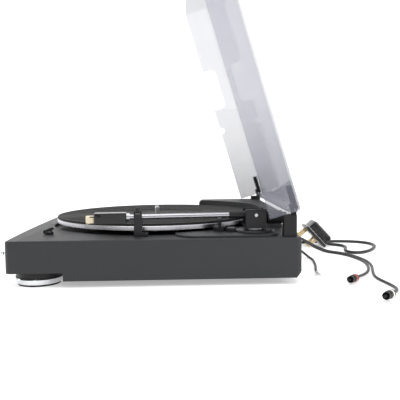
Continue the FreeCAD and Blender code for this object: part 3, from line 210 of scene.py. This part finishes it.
# ----------------------------------------------------------------------- finishes
@dataclass(frozen=True)
class Moulding:
    """Moulded plastic with a fine eroded grain and faint handling marks."""

    name: str
    colour: Colour
    roughness: float = 0.5
    grain: float = 0.25
    grain_scale: float = 2600.0
    coat: float = 0.0
    specular: float = 0.5

    def build(self) -> bpy.types.Material:
        """Returns the material."""
        sheet = ShaderSheet(self.name)
        fine = sheet.noise(self.grain_scale, 2.0)
        broad = sheet.noise(14.0, 4.0)
        rubbed = sheet.noise(90.0, 5.0, 0.65)
        dark = tuple(c * 0.86 for c in self.colour)
        light = tuple(min(1.0, c * 1.16 + 0.002) for c in self.colour)
        sheet.set(
            Base_Color=sheet.mix(broad * 0.7 + fine * 0.3, dark, light),
            Roughness=(broad * 0.10 + rubbed * 0.12 + (self.roughness - 0.11)).at_most(1.0),
            Normal=sheet.bump(fine + rubbed * 0.4, self.grain, 0.00012),
            Coat_Weight=self.coat,
            Coat_Roughness=0.12,
        )
        sheet.surface.inputs["Specular IOR Level"].default_value = self.specular
        return sheet.material


class Lay(Enum):
    """The way a metal was worked."""

    TURNED = "rings about the platter's axis"
    DRAWN = "fine lines along the arm"
    POLISHED = "no visible lines"


@dataclass(frozen=True)
class Metal:
    """Plated or machined metal with its tool marks and faint smears."""

    name: str
    colour: Colour
    roughness: float
    lay: Lay = Lay.POLISHED
    marks: float = 0.2

    def build(self) -> bpy.types.Material:
        """Returns the material."""
        sheet = ShaderSheet(self.name)
        smear = sheet.noise(45.0, 4.0, 0.6)
        if self.lay is Lay.TURNED:
            reach = sheet.radius() * 9000.0
            level = sheet.axis("Z") * 9000.0
            ring = sheet.node("ShaderNodeCombineXYZ", {}, {"X": reach, "Y": 0.0, "Z": level})
            lines = sheet.noise(1.0, 2.0, 0.6, ring.out())
        elif self.lay is Lay.DRAWN:
            lines = sheet.noise(1.0, 2.0, 0.6, sheet.stretched((5200.0, 60.0, 5200.0)))
        else:
            lines = sheet.noise(900.0, 2.0)
        dull = tuple(c * 0.84 for c in self.colour)
        sheet.set(
            Metallic=1.0,
            Base_Color=sheet.mix(lines * 0.6 + smear * 0.4, dull, self.colour),
            Roughness=smear * 0.12 + lines * 0.08 + (self.roughness - 0.08),
            Normal=sheet.bump(lines, self.marks, 0.00003),
        )
        return sheet.material


@dataclass(frozen=True)
class Rubber:
    """Matt moulded rubber with pores and a dusty bloom."""

    name: str
    colour: Colour
    roughness: float = 0.72
    bloom: float = 0.5

    def build(self) -> bpy.types.Material:
        """Returns the material."""
        sheet = ShaderSheet(self.name)
        pores = sheet.noise(3200.0, 2.0, 0.7)
        dust = sheet.noise(60.0, 5.0, 0.65)
        pale = tuple(c * (1.0 + self.bloom) + 0.006 for c in self.colour)
        sheet.set(
            Base_Color=sheet.mix((dust * 0.7 + pores * 0.3) ** 1.4, self.colour, pale),
            Roughness=dust * 0.14 + (self.roughness - 0.07),
            Normal=sheet.bump(pores, 0.3, 0.00008),
        )
        sheet.surface.inputs["Specular IOR Level"].default_value = 0.3
        return sheet.material


@dataclass(frozen=True)
class SmokedAcrylic:
    """Smoke-tinted clear acrylic: thin, glossy and denser where it is seen edge-on."""

    name: str
    colour: Colour
    density: float
    edge_density: float

    def build(self) -> bpy.types.Material:
        """Returns the material."""
        sheet = ShaderSheet(self.name)
        scuffs = sheet.noise(1.0, 3.0, 0.6, sheet.stretched((160.0, 22.0, 30.0)))
        haze = sheet.noise(7.0, 3.0)
        facing = sheet.node("ShaderNodeLayerWeight", {}, {"Blend": 0.35}).out("Facing")
        thick = (facing ** 3.0) * (self.edge_density - self.density)
        low_down = (1.0 - (sheet.axis("Z") * 6.0).at_most(1.0).at_least(0.0)) ** 1.5
        sheet.set(
            Base_Color=sheet.mix(low_down, self.colour, tuple(c * 0.45 for c in self.colour)),
            Roughness=scuffs * 0.08 + 0.03,
            Alpha=(thick + self.density + haze * 0.05 + low_down * 0.22).at_most(1.0),
            Normal=sheet.bump(scuffs, 0.04, 0.0001),
        )
        sheet.surface.inputs["Specular IOR Level"].default_value = 0.5
        return sheet.material


@dataclass(frozen=True)
class CordJacket:
    """Soft vinyl cord jacket with a faint sheen and drawn lines."""

    name: str
    colour: Colour

    def build(self) -> bpy.types.Material:
        """Returns the material."""
        sheet = ShaderSheet(self.name)
        drawn = sheet.noise(700.0, 3.0, 0.6)
        broad = sheet.noise(40.0, 3.0)
        pale = tuple(c * 1.5 + 0.01 for c in self.colour)
        sheet.set(
            Base_Color=sheet.mix(broad * 0.6 + drawn * 0.3, self.colour, pale),
            Roughness=drawn * 0.15 + 0.36,
            Normal=sheet.bump(drawn, 0.15, 0.0001),
        )
        return sheet.material


class Palette:
    """Every finish, built once and handed out by name."""

    FINISHES = {
        "plinth": Moulding("plinth_charcoal", (0.024, 0.025, 0.027), 0.5, 0.22, specular=0.35),
        "panel": Moulding("panel_charcoal", (0.024, 0.025, 0.027), 0.45, 0.16, specular=0.35),
        "black": Moulding("plain_black", (0.008, 0.008, 0.009), 0.45, 0.2, specular=0.3),
        "gloss": Moulding("gloss_black", (0.006, 0.006, 0.007), 0.26, 0.05, coat=0.2, specular=0.35),
        "satin": Moulding("arm_satin_black", (0.010, 0.010, 0.012), 0.38, 0.12, specular=0.35),
        "ivory": Moulding("ivory_moulding", (0.80, 0.70, 0.50), 0.4, 0.1),
        "pale": Moulding("pale_grey", (0.55, 0.55, 0.56), 0.35, 0.12),
        "red": Moulding("red_band", (0.62, 0.05, 0.03), 0.35, 0.1),
        "cream": Moulding("cream_band", (0.85, 0.82, 0.74), 0.35, 0.1),
        "nylon": Moulding("natural_nylon", (0.78, 0.77, 0.72), 0.5, 0.1),
        "board": Moulding("green_board", (0.04, 0.16, 0.06), 0.4, 0.2),
        "iron": Metal("laminated_iron", (0.25, 0.24, 0.23), 0.5),
        "steel": Metal("zinc_steel", (0.60, 0.61, 0.62), 0.32),
        "chrome": Metal("bright_plate", (0.86, 0.87, 0.89), 0.14),
        "tube": Metal("drawn_tube", (0.50, 0.50, 0.53), 0.22, Lay.DRAWN),
        "rim": Metal("turned_rim", (0.60, 0.60, 0.63), 0.25, Lay.TURNED),
        "brass": Metal("machined_brass", (0.78, 0.62, 0.34), 0.28),
        "rubber": Rubber("plain_rubber", (0.008, 0.008, 0.009)),
        "mat": Rubber("mat_rubber", (0.010, 0.010, 0.009), 0.66),
        "jacket": CordJacket("black_jacket", (0.010, 0.011, 0.011)),
        "acrylic": SmokedAcrylic("smoked_acrylic", (0.30, 0.31, 0.38), 0.20, 0.75),
    }

    def __init__(self) -> None:
        """Starts with nothing built."""
        self.built: dict[str, bpy.types.Material] = {}

    def get(self, name: str) -> bpy.types.Material:
        """Returns the finish of that name, building it the first time."""
        if name not in self.built:
            self.built[name] = self.FINISHES[name].build()
        return self.built[name]


PALETTE = Palette()


# -------------------------------------------------------------------- mesh helpers
class MeshPiece:
    """A mesh object under construction, in millimetres until it is finished."""

    def __init__(self, name: str) -> None:
        """Starts an empty mesh."""
        self.name = name
        self.mesh = bmesh.new()

    def lathe(
            self, profile: Sequence[tuple[float, float]], steps: int = 64,
            matrix: Matrix | None = None) -> None:
        """Turns a (radius, height) profile about Z.

        Args:
            profile: points from bottom to top; a radius of 0 closes an end.
            steps: segments around.
            matrix: where the turned form goes.
        """
        rings = []
        for r, z in profile:
            if r < 1e-6:
                rings.append([self.mesh.verts.new((0, 0, z))])
                continue
            ring = []
            for i in range(steps):
                a = 2 * math.pi * i / steps
                ring.append(self.mesh.verts.new((r * math.cos(a), r * math.sin(a), z)))
            rings.append(ring)
        for low, high in zip(rings, rings[1:]):
            for i in range(steps):
                corners = [
                    low[i % len(low)], low[(i + 1) % len(low)],
                    high[(i + 1) % len(high)], high[i % len(high)]]
                unique = list(dict.fromkeys(corners))
                if len(unique) > 2:
                    self.mesh.faces.new(unique)
        if matrix:
            moved = [v for ring in rings for v in ring]
            bmesh.ops.transform(self.mesh, matrix=matrix, verts=moved)

    def box(
            self, low: Sequence[float], high: Sequence[float], bevel: float = 0.0,
            matrix: Matrix | None = None) -> None:
        """A box between two corners with soft edges."""
        made = bmesh.ops.create_cube(self.mesh, size=1.0)["verts"]
        middle = [(a + b) / 2 for a, b in zip(low, high)]
        size = [b - a for a, b in zip(low, high)]
        fit = Matrix.Translation(middle) @ Matrix.Diagonal((*size, 1.0))
        bmesh.ops.transform(self.mesh, matrix=fit, verts=made)
        if bevel:
            edges = list({e for v in made for e in v.link_edges})
            cut = bmesh.ops.bevel(
                self.mesh, geom=edges, offset=bevel, segments=3, profile=0.5, affect="EDGES")
            made = list({v for f in cut["faces"] for v in f.verts} | {v for v in made if v.is_valid})
        if matrix:
            bmesh.ops.transform(self.mesh, matrix=matrix, verts=made)

    def finish(self, finish: str, body: str, matrix: Matrix | None = None) -> bpy.types.Object:
        """Scales to metres, smooths, dresses and hands the piece to its body.

        Args:
            finish: the palette's name of the finish.
            body: the moving body that carries the piece.
            matrix: where the whole piece goes, in millimetres.

        Returns:
            The linked object.
        """
        if matrix:
            self.mesh.transform(matrix)
        bmesh.ops.remove_doubles(self.mesh, verts=self.mesh.verts, dist=1e-5)
        bmesh.ops.recalc_face_normals(self.mesh, faces=self.mesh.faces)
        self.mesh.transform(Matrix.Diagonal((MM, MM, MM, 1.0)))
        data = bpy.data.meshes.new(self.name)
        self.mesh.to_mesh(data)
        self.mesh.free()
        made = bpy.data.objects.new(self.name, data)
        bpy.context.scene.collection.objects.link(made)
        data.materials.append(PALETTE.get(finish))
        for face in data.polygons:
            face.use_smooth = True
        made.modifiers.new("edges", "EDGE_SPLIT").split_angle = math.radians(32)
        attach(made, body)
        LOG.info("piece %s on %s", self.name, body)
        return made


def dress(finish: str, *nodes: str) -> None:
    """Gives CAD nodes one finish.

    Args:
        finish: the palette's name of the finish.
        nodes: the names of the nodes.
    """
    for name in nodes:
        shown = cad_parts[name]
        if not shown.material_slots:
            shown.data.materials.append(None)
        for slot in shown.material_slots:
            slot.material = PALETTE.get(finish)
        LOG.info("node %s in %s", name, finish)


def along(start: Vector, heading: Vector) -> Matrix:
    """A matrix that takes Z onto a heading from a start point, in millimetres."""
    turn = heading.normalized().to_track_quat("Z", "Y").to_matrix().to_4x4()
    return Matrix.Translation(start) @ turn


# --------------------------------------------------------------------------- cords
class Side(Enum):
    """The two signal channels."""

    RIGHT = "right"
    LEFT = "left"


@dataclass
class Cords:
    """The signal, ground and mains cords with their plugs."""

    floor: float = -71.0
    signal_width: float = 3.6
    ground_width: float = 3.6
    mains_width: float = 5.0
    socket_level: float = -46.0
    gland_level: float = -41.0
    plug_level: float = -66.4
    coil_centre: tuple[float, float] = (-150.0, 220.0)
    inner_turn: float = 26.5
    outer_turn: float = 31.5
    turn_points: int = 18
    coil_start_degrees: float = 64.0
    coil_turns: float = 5.82
    plug_edge: tuple[float, float] = (-92.0, 277.0)
    blade_length: float = 17.7
    blade_row: float = 16.0

    def line(self, name: str, points: Sequence[Point], width: float) -> bpy.types.Object:
        """Makes one cord as a smooth curve.

        Args:
            name: the object's name.
            points: the route's points in millimetres.
            width: the cord's diameter in millimetres.

        Returns:
            The curve object, riding on the chassis.
        """
        curve = bpy.data.curves.new(name, "CURVE")
        curve.dimensions = "3D"
        curve.bevel_depth = width / 2 * MM
        curve.bevel_resolution = 5
        curve.resolution_u = 10
        curve.use_fill_caps = True
        spline = curve.splines.new("NURBS")
        spline.points.add(len(points) - 1)
        for knot, point in zip(spline.points, points):
            knot.co = (*mm(*point), 1.0)
        spline.order_u = 3
        spline.use_endpoint_u = True
        made = bpy.data.objects.new(name, curve)
        bpy.context.scene.collection.objects.link(made)
        curve.materials.append(PALETTE.get("jacket"))
        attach(made, "chassis")
        LOG.info("cord %s with %d points", name, len(points))
        return made

    def signal_points(self, side: Side) -> list[Point]:
        """Returns one signal cord's route in millimetres."""
        z = self.floor + self.signal_width / 2
        top = self.socket_level
        end = self.plug_level
        if side is Side.RIGHT:
            return [
                (-20, 216, top), (-20, 226, top), (-24, 239, -55), (-26, 254, -64.5), (-20, 269, z),
                (-7, 283, z), (13, 293, z), (38, 299, z), (66, 301, z), (92, 297, z), (117, 290, z),
                (140, 280, z), (160, 268, end - 1.4), (176, 257, end)]
        return [
            (-34, 216, top), (-34, 226, top), (-35, 240, -54), (-35, 256, -63.5), (-28, 272, z),
            (-13, 287, z), (9, 298, z), (36, 304.4, z), (66, 306.4, z), (94, 302, z), (121, 294, z),
            (146, 286, z), (172, 281, z), (198, 284, z), (222, 286, z), (243, 281, end - 1.4),
            (257, 271, end)]

    def ground_points(self) -> list[Point]:
        """Returns the ground wire's route in millimetres."""
        z = self.floor + self.ground_width / 2
        top = self.socket_level
        return [
            (4, 193.5, top), (4, 203, top), (3, 214, -56), (7, 225, -65), (22, 230, z), (44, 231, z),
            (68, 228, z), (92, 224, z), (114, 218.5, z), (132, 216, z)]

    def coil_points(self) -> list[Point]:
        """Winds the put-away mains cord into six turns, two wide and three high.

        Returns:
            The coil's points in millimetres, from the top turn to the bottom one.
        """
        cx, cy = self.coil_centre
        turns = [
            (self.inner_turn, 12.5), (self.outer_turn, 12.5), (self.outer_turn, 7.5),
            (self.inner_turn, 7.5), (self.inner_turn, 2.5), (self.outer_turn, 2.5)]
        count = self.turn_points
        points = []
        start = math.radians(self.coil_start_degrees)
        total = self.coil_turns * 2 * math.pi
        steps = int(round(total / (2 * math.pi) * count))
        for i in range(steps + 1):
            swept = i / steps * (len(turns) - 1e-6)
            index = min(int(swept), len(turns) - 1)
            share = (swept - index - 0.86 + 0.14 * index) / 0.14
            share = min(1.0, max(0.0, share))
            here = turns[index]
            there = turns[min(index + 1, len(turns) - 1)]
            ease = share * share * (3 - 2 * share)
            radius = here[0] + (there[0] - here[0]) * ease
            level = self.floor + here[1] + (there[1] - here[1]) * ease
            angle = start + total * i / steps
            points.append((cx + radius * math.cos(angle), cy + radius * math.sin(angle), level))
        return points

    def mains_points(self) -> list[Point]:
        """Returns the mains cord's route from the gland through the coil to the plug."""
        z = self.floor + self.mains_width / 2
        top = self.gland_level
        entry = [(-120, 208.5, top), (-120, 220, top), (-122, 231, -47), (-128, 240, -54.5)]
        run = [
            (-118, 232, z), (-120, 252, z), (-125, 276, z), (-128, 302, z), (-125, 328, z),
            (-116, 350, z), (-97, 364, z), (-73, 364, z), (-49, 354, z), (-27, 341, z), (-11, 326, z),
            (-5, 312, z), (-13, 301.5, z), (-28, 300, z), (-47, 306, z), (-64, 311.5, z), (-80, 309, z),
            (-90, 299, z), (-92, 287, z + 1.2)]
        return entry + self.coil_points() + run

    def measure(self, shown: bpy.types.Object) -> float:
        """Returns a curve's real length in metres, from its smooth line."""
        thin = shown.copy()
        thin.data = shown.data.copy()
        thin.data.bevel_depth = 0.0
        bpy.context.scene.collection.objects.link(thin)
        bpy.context.view_layer.update()
        shape = bpy.data.meshes.new_from_object(thin)
        places = [v.co.copy() for v in shape.vertices]
        bpy.data.objects.remove(thin)
        bpy.data.meshes.remove(shape)
        return sum((b - a).length for a, b in zip(places, places[1:]))

    def plug_matrix(self) -> Matrix:
        """Returns the leaning mains plug's place, from its own frame, in millimetres."""
        lean = Matrix.Rotation(-math.atan2(self.blade_length, self.blade_row), 4, "X")
        stand = Matrix.Translation((*self.plug_edge, self.floor + 0.02))
        return stand @ lean @ Matrix.Rotation(math.pi, 4, "Z")

    def mains_plug(self) -> list[bpy.types.Object]:
        """Builds the mains plug's base, body, back plate, blades and relief, with a thin bright steel
        strip on top of the base plate as a painted highlight.

        Returns:
            The plug's pieces, in place of the plain one.
        """
        place = self.plug_matrix()
        half = 22.0
        body = MeshPiece("mains_plug_body")
        body.box((-half + 0.1, 0.1, 0.1), (half - 0.1, 45.9, 4.9), 1.1)
        body.box((-half + 3.2, 1.8, 4.8), (half - 3.2, 42.8, 19.9), 2.4)
        for step in range(4):
            low = 10.0 + step * 7.0
            body.box((-half + 2.95, low, 7.0), (half - 2.95, low + 3.0, 16.5), 0.9)
        body.lathe(
            [(0.0, -4.4), (2.95, -4.4), (3.3, -3.6), (3.2, -2.8), (3.7, -2.2), (3.6, -1.4),
             (4.2, -0.6), (4.1, 0.2), (4.7, 1.0), (4.7, 2.2), (0.0, 2.2)],
            32, along(Vector((0.0, 0.0, 10.0)), Vector((0.0, 1.0, 0.0))))
        pieces = [body.finish("gloss", "chassis", place)]
        back = MeshPiece("mains_plug_back")
        back.box((-half + 6.0, 4.2, 19.6), (half - 6.0, 40.3, 21.4), 0.7)
        back.box((-6.0, 12.0, 20.9), (6.0, 30.0, 21.48), 0.25)
        pieces.append(back.finish("pale", "chassis", place))
        # Painted highlight: a thin bright steel strip on top of the dark base plate stands in for the
        # light caught along its rim.
        edge = MeshPiece("mains_plug_highlight_strip")
        edge.box((-half + 0.5, 0.4, 4.7), (half - 0.5, 45.6, 5.35), 0.3)
        pieces.append(edge.finish("steel", "chassis", place))
        blades = MeshPiece("mains_plug_blades")
        for across in (-11.1, 11.1):
            blades.box((across - 3.15, 16.05, -17.6), (across + 3.15, 19.95, 0.4), 0.5)
        blades.box((-1.95, 36.25, -22.6), (1.95, 44.15, 0.4), 0.5)
        pieces.append(blades.finish("brass", "chassis", place))
        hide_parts("mains_plug")
        return pieces

    def band(self, side: Side) -> bpy.types.Object:
        """Puts the channel's colour band on a free signal plug."""
        ends = self.signal_points(side)[-2:]
        heading = (Vector(ends[1]) - Vector(ends[0])).normalized()
        ring = MeshPiece(f"channel_band_{side.value}")
        start = Vector(ends[1]) + heading * 14.0
        profile = [(4.4, 0.0), (4.72, 0.15), (4.78, 0.6), (4.78, 3.2), (4.72, 3.7), (4.4, 3.85)]
        ring.lathe(profile, 40, along(start, heading))
        finish = "red" if side is Side.RIGHT else "cream"
        made = ring.finish(finish, "chassis")
        return made

    def socket_band(self, side: Side) -> bpy.types.Object:
        """Puts the channel's colour band on a pushed-in signal plug."""
        x, y, z = self.signal_points(side)[0]
        ring = MeshPiece(f"socket_band_{side.value}")
        profile = [(4.7, 0.0), (5.0, 0.2), (5.08, 0.6), (5.08, 3.4), (5.0, 3.8), (4.7, 4.0)]
        ring.lathe(profile, 40, along(Vector((x, y - 16.5, z)), Vector((0.0, 1.0, 0.0))))
        made = ring.finish("red" if side is Side.RIGHT else "cream", "chassis")
        return made

    def build(self) -> None:
        """Makes the four cords and finishes, builds or bands the plugs of each."""
        for side in Side:
            points = self.signal_points(side)
            cord = self.line(f"signal_cord_line_{side.value}", points, self.signal_width)
            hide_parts(f"signal_cord_{side.value}")
            dress("black", f"far_plug_{side.value}")
            dress("black", f"signal_plug_{side.value}")
            self.measure(cord)
            self.band(side)
            self.socket_band(side)
        points = self.ground_points()
        ground = self.line("ground_wire_line", points, self.ground_width)
        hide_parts("ground_wire")
        dress("steel", "ground_lug")
        self.measure(ground)
        points = self.mains_points()
        mains = self.line("mains_cord_line", points, self.mains_width)
        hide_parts("mains_cord", "mains_coil")
        plug = self.mains_plug()
        self.measure(mains)


# -------------------------------------------------------------------------- plinth
@dataclass
class Plinth:
    """The moulded plinth with its front panel, controls and feet."""

    foot_places: tuple[float, float] = (158.0, -134.0)
    foot_y: float = -140.0

    def build(self) -> None:
        """Dresses the plinth's nodes and adds its small fittings."""
        dress("plinth", "plinth_shell", "platter_pan", "rear_shelf")
        dress("panel", "front_panel")
        dress("black", "base_plate", "front_foot_cups", "rear_feet", "bearing_housing", "signal_sockets")
        dress("black", "mains_gland", "hinge_posts")
        dress("steel", "base_screws", "hinge_pins", "motor")
        dress("chrome", "front_foot_rings")
        dress("rubber", "front_foot_pads", "drive_belt")
        dress("board", "control_board")
        dress("iron", "mains_transformer")
        dress("gloss", "start_button", "stop_button", "lift_button")
        dress("chrome", "power_knob")
        dress("gloss", "size_selector")
        dress("brass", "ground_post")
        dress("nylon", "cam_gear", "drive_pinion")
        dress("brass", "motor_pulley")
        self.ring_grips()

    def ring_grips(self) -> None:
        """Adds a fine step ring to each front foot between its cup and its bright ring."""
        for x in self.foot_places:
            piece = MeshPiece(f"foot_step_{'right' if x > 0 else 'left'}")
            profile = [
                (26.4, -61.9), (28.4, -61.9), (28.7, -61.5), (28.7, -60.9), (28.4, -60.6), (26.4, -60.6)]
            piece.lathe(profile, 96, Matrix.Translation((x, self.foot_y, 0.0)))
            piece.finish("black", "chassis")


# ------------------------------------------------------------------------- platter
@dataclass
class PlatterDress:
    """The platter's turned rim, ribbed mat and spindle."""

    label_radius: float = 52.0
    rib_step: float = 3.0
    rib_depth: float = 0.55
    bands: tuple[tuple[float, float], ...] = ((143.0, 118.0), (114.0, 89.0), (85.0, 58.0))

    def build(self) -> None:
        """Dresses the turning nodes and lays the ribbed mat."""
        dress("rim", "platter")
        dress("steel", "spindle")
        self.ribbed_mat()

    def ribbed_mat(self) -> None:
        """Turns a mat with rings of ribs in three bands, in place of the plain one."""
        low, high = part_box("platter_mat")
        base = low.z / MM + 0.02
        top = high.z / MM
        outer = high.x / MM - 0.02
        profile = [
            (4.1, base), (outer - 0.4, base), (outer, base + 0.5), (outer, top - 0.6), (outer - 0.5, top)]
        r = outer - 4.0
        for start, end in self.bands:
            profile += [(r, top), (start + 0.4, top)]
            r = start
            while r > end:
                profile += [
                    (r, top - self.rib_depth), (r - 0.9, top - self.rib_depth),
                    (r - 1.2, top - 0.08), (r - 1.5, top), (r - 2.2, top), (r - 2.6, top - 0.1)]
                r -= self.rib_step
            profile += [(r + 0.2, top - self.rib_depth)]
        floor = top - 0.75
        label = self.label_radius
        profile += [(label, top), (label - 0.5, top - 0.1), (label - 2.0, floor)]
        profile += [(7.0, floor), (6.4, floor + 0.1), (4.1, floor + 0.1), (4.1, base)]
        ordered = [profile[0]]
        for point in profile[1:]:
            if abs(point[0] - ordered[-1][0]) + abs(point[1] - ordered[-1][1]) > 1e-4:
                ordered.append(point)
        piece = MeshPiece("ribbed_mat")
        piece.lathe(ordered, 160)
        made = piece.finish("mat", "turning_platter")
        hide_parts("platter_mat")


# ----------------------------------------------------------------------------- arm
@dataclass
class ToneArm:
    """The tone arm from its counterweight to its cartridge."""

    pivot: Point = (147.0, 132.0, 10.0)
    heading_degrees: float = 4.5

    def frame_at(self, reach: float, side: float = 0.0, level: float = 10.0) -> Vector:
        """Returns a point along the arm at rest, in millimetres."""
        a = math.radians(self.heading_degrees)
        ahead = Vector((math.sin(a), -math.cos(a), 0.0))
        across = Vector((math.cos(a), math.sin(a), 0.0))
        base = Vector((self.pivot[0], self.pivot[1], 0.0))
        return base + ahead * reach + across * side + Vector((0.0, 0.0, level))

    def build(self) -> None:
        """Dresses the arm's nodes and adds its rings and screws."""
        dress("tube", "arm_tube")
        dress("satin", "arm_yoke", "arm_base", "arm_bearing_block", "lift_guide")
        dress("steel", "arm_shaft", "arm_pivot_screws", "headshell_collar")
        dress("gloss", "headshell", "finger_lift")
        dress("satin", "counterweight", "arm_rest_post", "arm_rest_clip", "lift_bar")
        dress("ivory", "cartridge")
        dress("ivory", "stylus_holder")
        self.shell_details()


    def shell_details(self) -> None:
        """Adds the head shell's two mounting screws and the counterweight's scale ring."""
        screws = MeshPiece("shell_screws")
        for side in (-4.6, 4.6):
            at = self.frame_at(176.0, side, 15.4)
            profile = [
                (0.0, 0.0), (1.5, 0.0), (1.5, 0.35), (1.2, 0.55), (0.45, 0.57), (0.4, 0.3), (0.0, 0.3)]
            screws.lathe(profile, 24, Matrix.Translation(at))
        screws.finish("steel", "arm_beam")
        weight = MeshPiece("weight_grip")
        start = self.frame_at(-20.5, 0.0, 6.0)
        heading = self.frame_at(-35.0, 0.0, 6.0) - start
        profile = [(7.9, 0.0), (8.5, 0.1)]
        for step in range(9):
            level = 0.4 + step * 1.4
            profile += [(8.52, level), (8.52, level + 0.6), (8.3, level + 0.8), (8.3, level + 1.2)]
        profile += [(8.5, 13.2), (7.9, 13.4)]
        weight.lathe(profile, 72, along(start, heading))
        weight.finish("black", "balance_weight")


# --------------------------------------------------------------------------- cover
@dataclass
class Cover:
    """The smoked cover and its hinge leaves."""

    def build(self) -> None:
        """Dresses the cover."""
        dress("acrylic", "lid")
        dress("black", "hinge_leaves")


# -------------------------------------------------------------------------- studio
@dataclass
class Studio:
    """The floor, the lights and the camera."""

    camera_place: Point = (840.7, 46.4, 81.0)
    yaw: float = 0.0234
    pitch: float = 0.0744
    roll: float = -0.0117
    lens: float = 49.25
    floor: float = -71.0

    def ground(self) -> None:
        """Lays a pale sweep of floor and backdrop."""
        mesh = bmesh.new()
        rows = ((1.6, 0.0), (-1.4, 0.0), (-1.9, 0.12), (-2.15, 0.42), (-2.2, 0.8), (-2.2, 3.0))
        grid = []
        for x, z in rows:
            grid.append([mesh.verts.new((x, y, z + self.floor * MM)) for y in (-3.0, -1.0, 1.0, 3.0)])
        for a, b in zip(grid, grid[1:]):
            for i in range(3):
                mesh.faces.new((a[i], a[i + 1], b[i + 1], b[i]))
        data = bpy.data.meshes.new("studio_floor")
        mesh.to_mesh(data)
        mesh.free()
        made = bpy.data.objects.new("studio_floor", data)
        bpy.context.scene.collection.objects.link(made)
        sheet = ShaderSheet("pale_floor")
        tone = sheet.mix(sheet.noise(3.0), (0.88, 0.88, 0.88), (0.92, 0.92, 0.92))
        sheet.set(Base_Color=tone, Roughness=0.8)
        sheet.set(Emission_Color=(1.0, 1.0, 1.0), Emission_Strength=0.38)
        data.materials.append(sheet.material)

    def light(self, name: str, place: Point, target: Point, size: float, watts: float) -> None:
        """Hangs one soft area light.

        Args:
            name: the light's name.
            place: where it hangs, in metres.
            target: what it points at, in metres.
            size: its side in metres.
            watts: its power.
        """
        data = bpy.data.lights.new(name, "AREA")
        data.shape = "SQUARE"
        data.size = size
        data.energy = watts
        made = bpy.data.objects.new(name, data)
        made.location = place
        aim = Vector(target) - Vector(place)
        made.rotation_euler = aim.to_track_quat("-Z", "Y").to_euler()
        bpy.context.scene.collection.objects.link(made)

    def camera(self) -> None:
        """Stands the camera."""
        forward = Vector((
            -math.cos(self.pitch) * math.cos(self.yaw), math.cos(self.pitch) * math.sin(self.yaw),
            -math.sin(self.pitch)))
        right = forward.cross(Vector((0, 0, 1))).normalized()
        up = right.cross(forward)
        across = right * math.cos(self.roll) + up * math.sin(self.roll)
        above = up * math.cos(self.roll) - right * math.sin(self.roll)
        data = bpy.data.cameras.new("camera")
        data.lens = self.lens
        data.sensor_width = 36.0
        data.clip_start = 0.01
        made = bpy.data.objects.new("camera", data)
        turn = Matrix((across, above, -forward)).transposed().to_4x4()
        made.matrix_world = Matrix.Translation(mm(*self.camera_place)) @ turn
        bpy.context.scene.collection.objects.link(made)
        bpy.context.scene.camera = made

    def world(self) -> None:
        """Fills the room with an even white."""
        room = bpy.data.worlds.new("studio_white")
        room.use_nodes = True
        room.node_tree.nodes["Background"].inputs[0].default_value = (1.0, 1.0, 1.0, 1.0)
        room.node_tree.nodes["Background"].inputs[1].default_value = 0.6
        bpy.context.scene.world = room

    def build(self) -> None:
        """Makes the studio's floor and lights."""
        self.ground()
        self.world()
        self.light("key_above", (0.3, 0.1, 1.5), (0.0, 0.0, 0.0), 1.6, 16.0)
        self.light("near_fill", (0.9, 1.1, 0.5), (0.19, 0.12, -0.04), 0.7, 7.0)
        self.light("front_edge", (0.1, -1.5, 0.5), (0.0, 0.0, -0.02), 0.9, 7.0)
        bpy.context.scene.view_settings.view_transform = "Standard"


def main() -> None:
    """Builds the camera, the cords and every sub-assembly in order."""
    studio = Studio()
    studio.camera()
    Cords().build()
    for assembly in (Plinth(), PlatterDress(), ToneArm(), Cover()):
        LOG.info("building %s", type(assembly).__name__)
        assembly.build()
    studio.build()


if __name__ == "__main__":
    main()
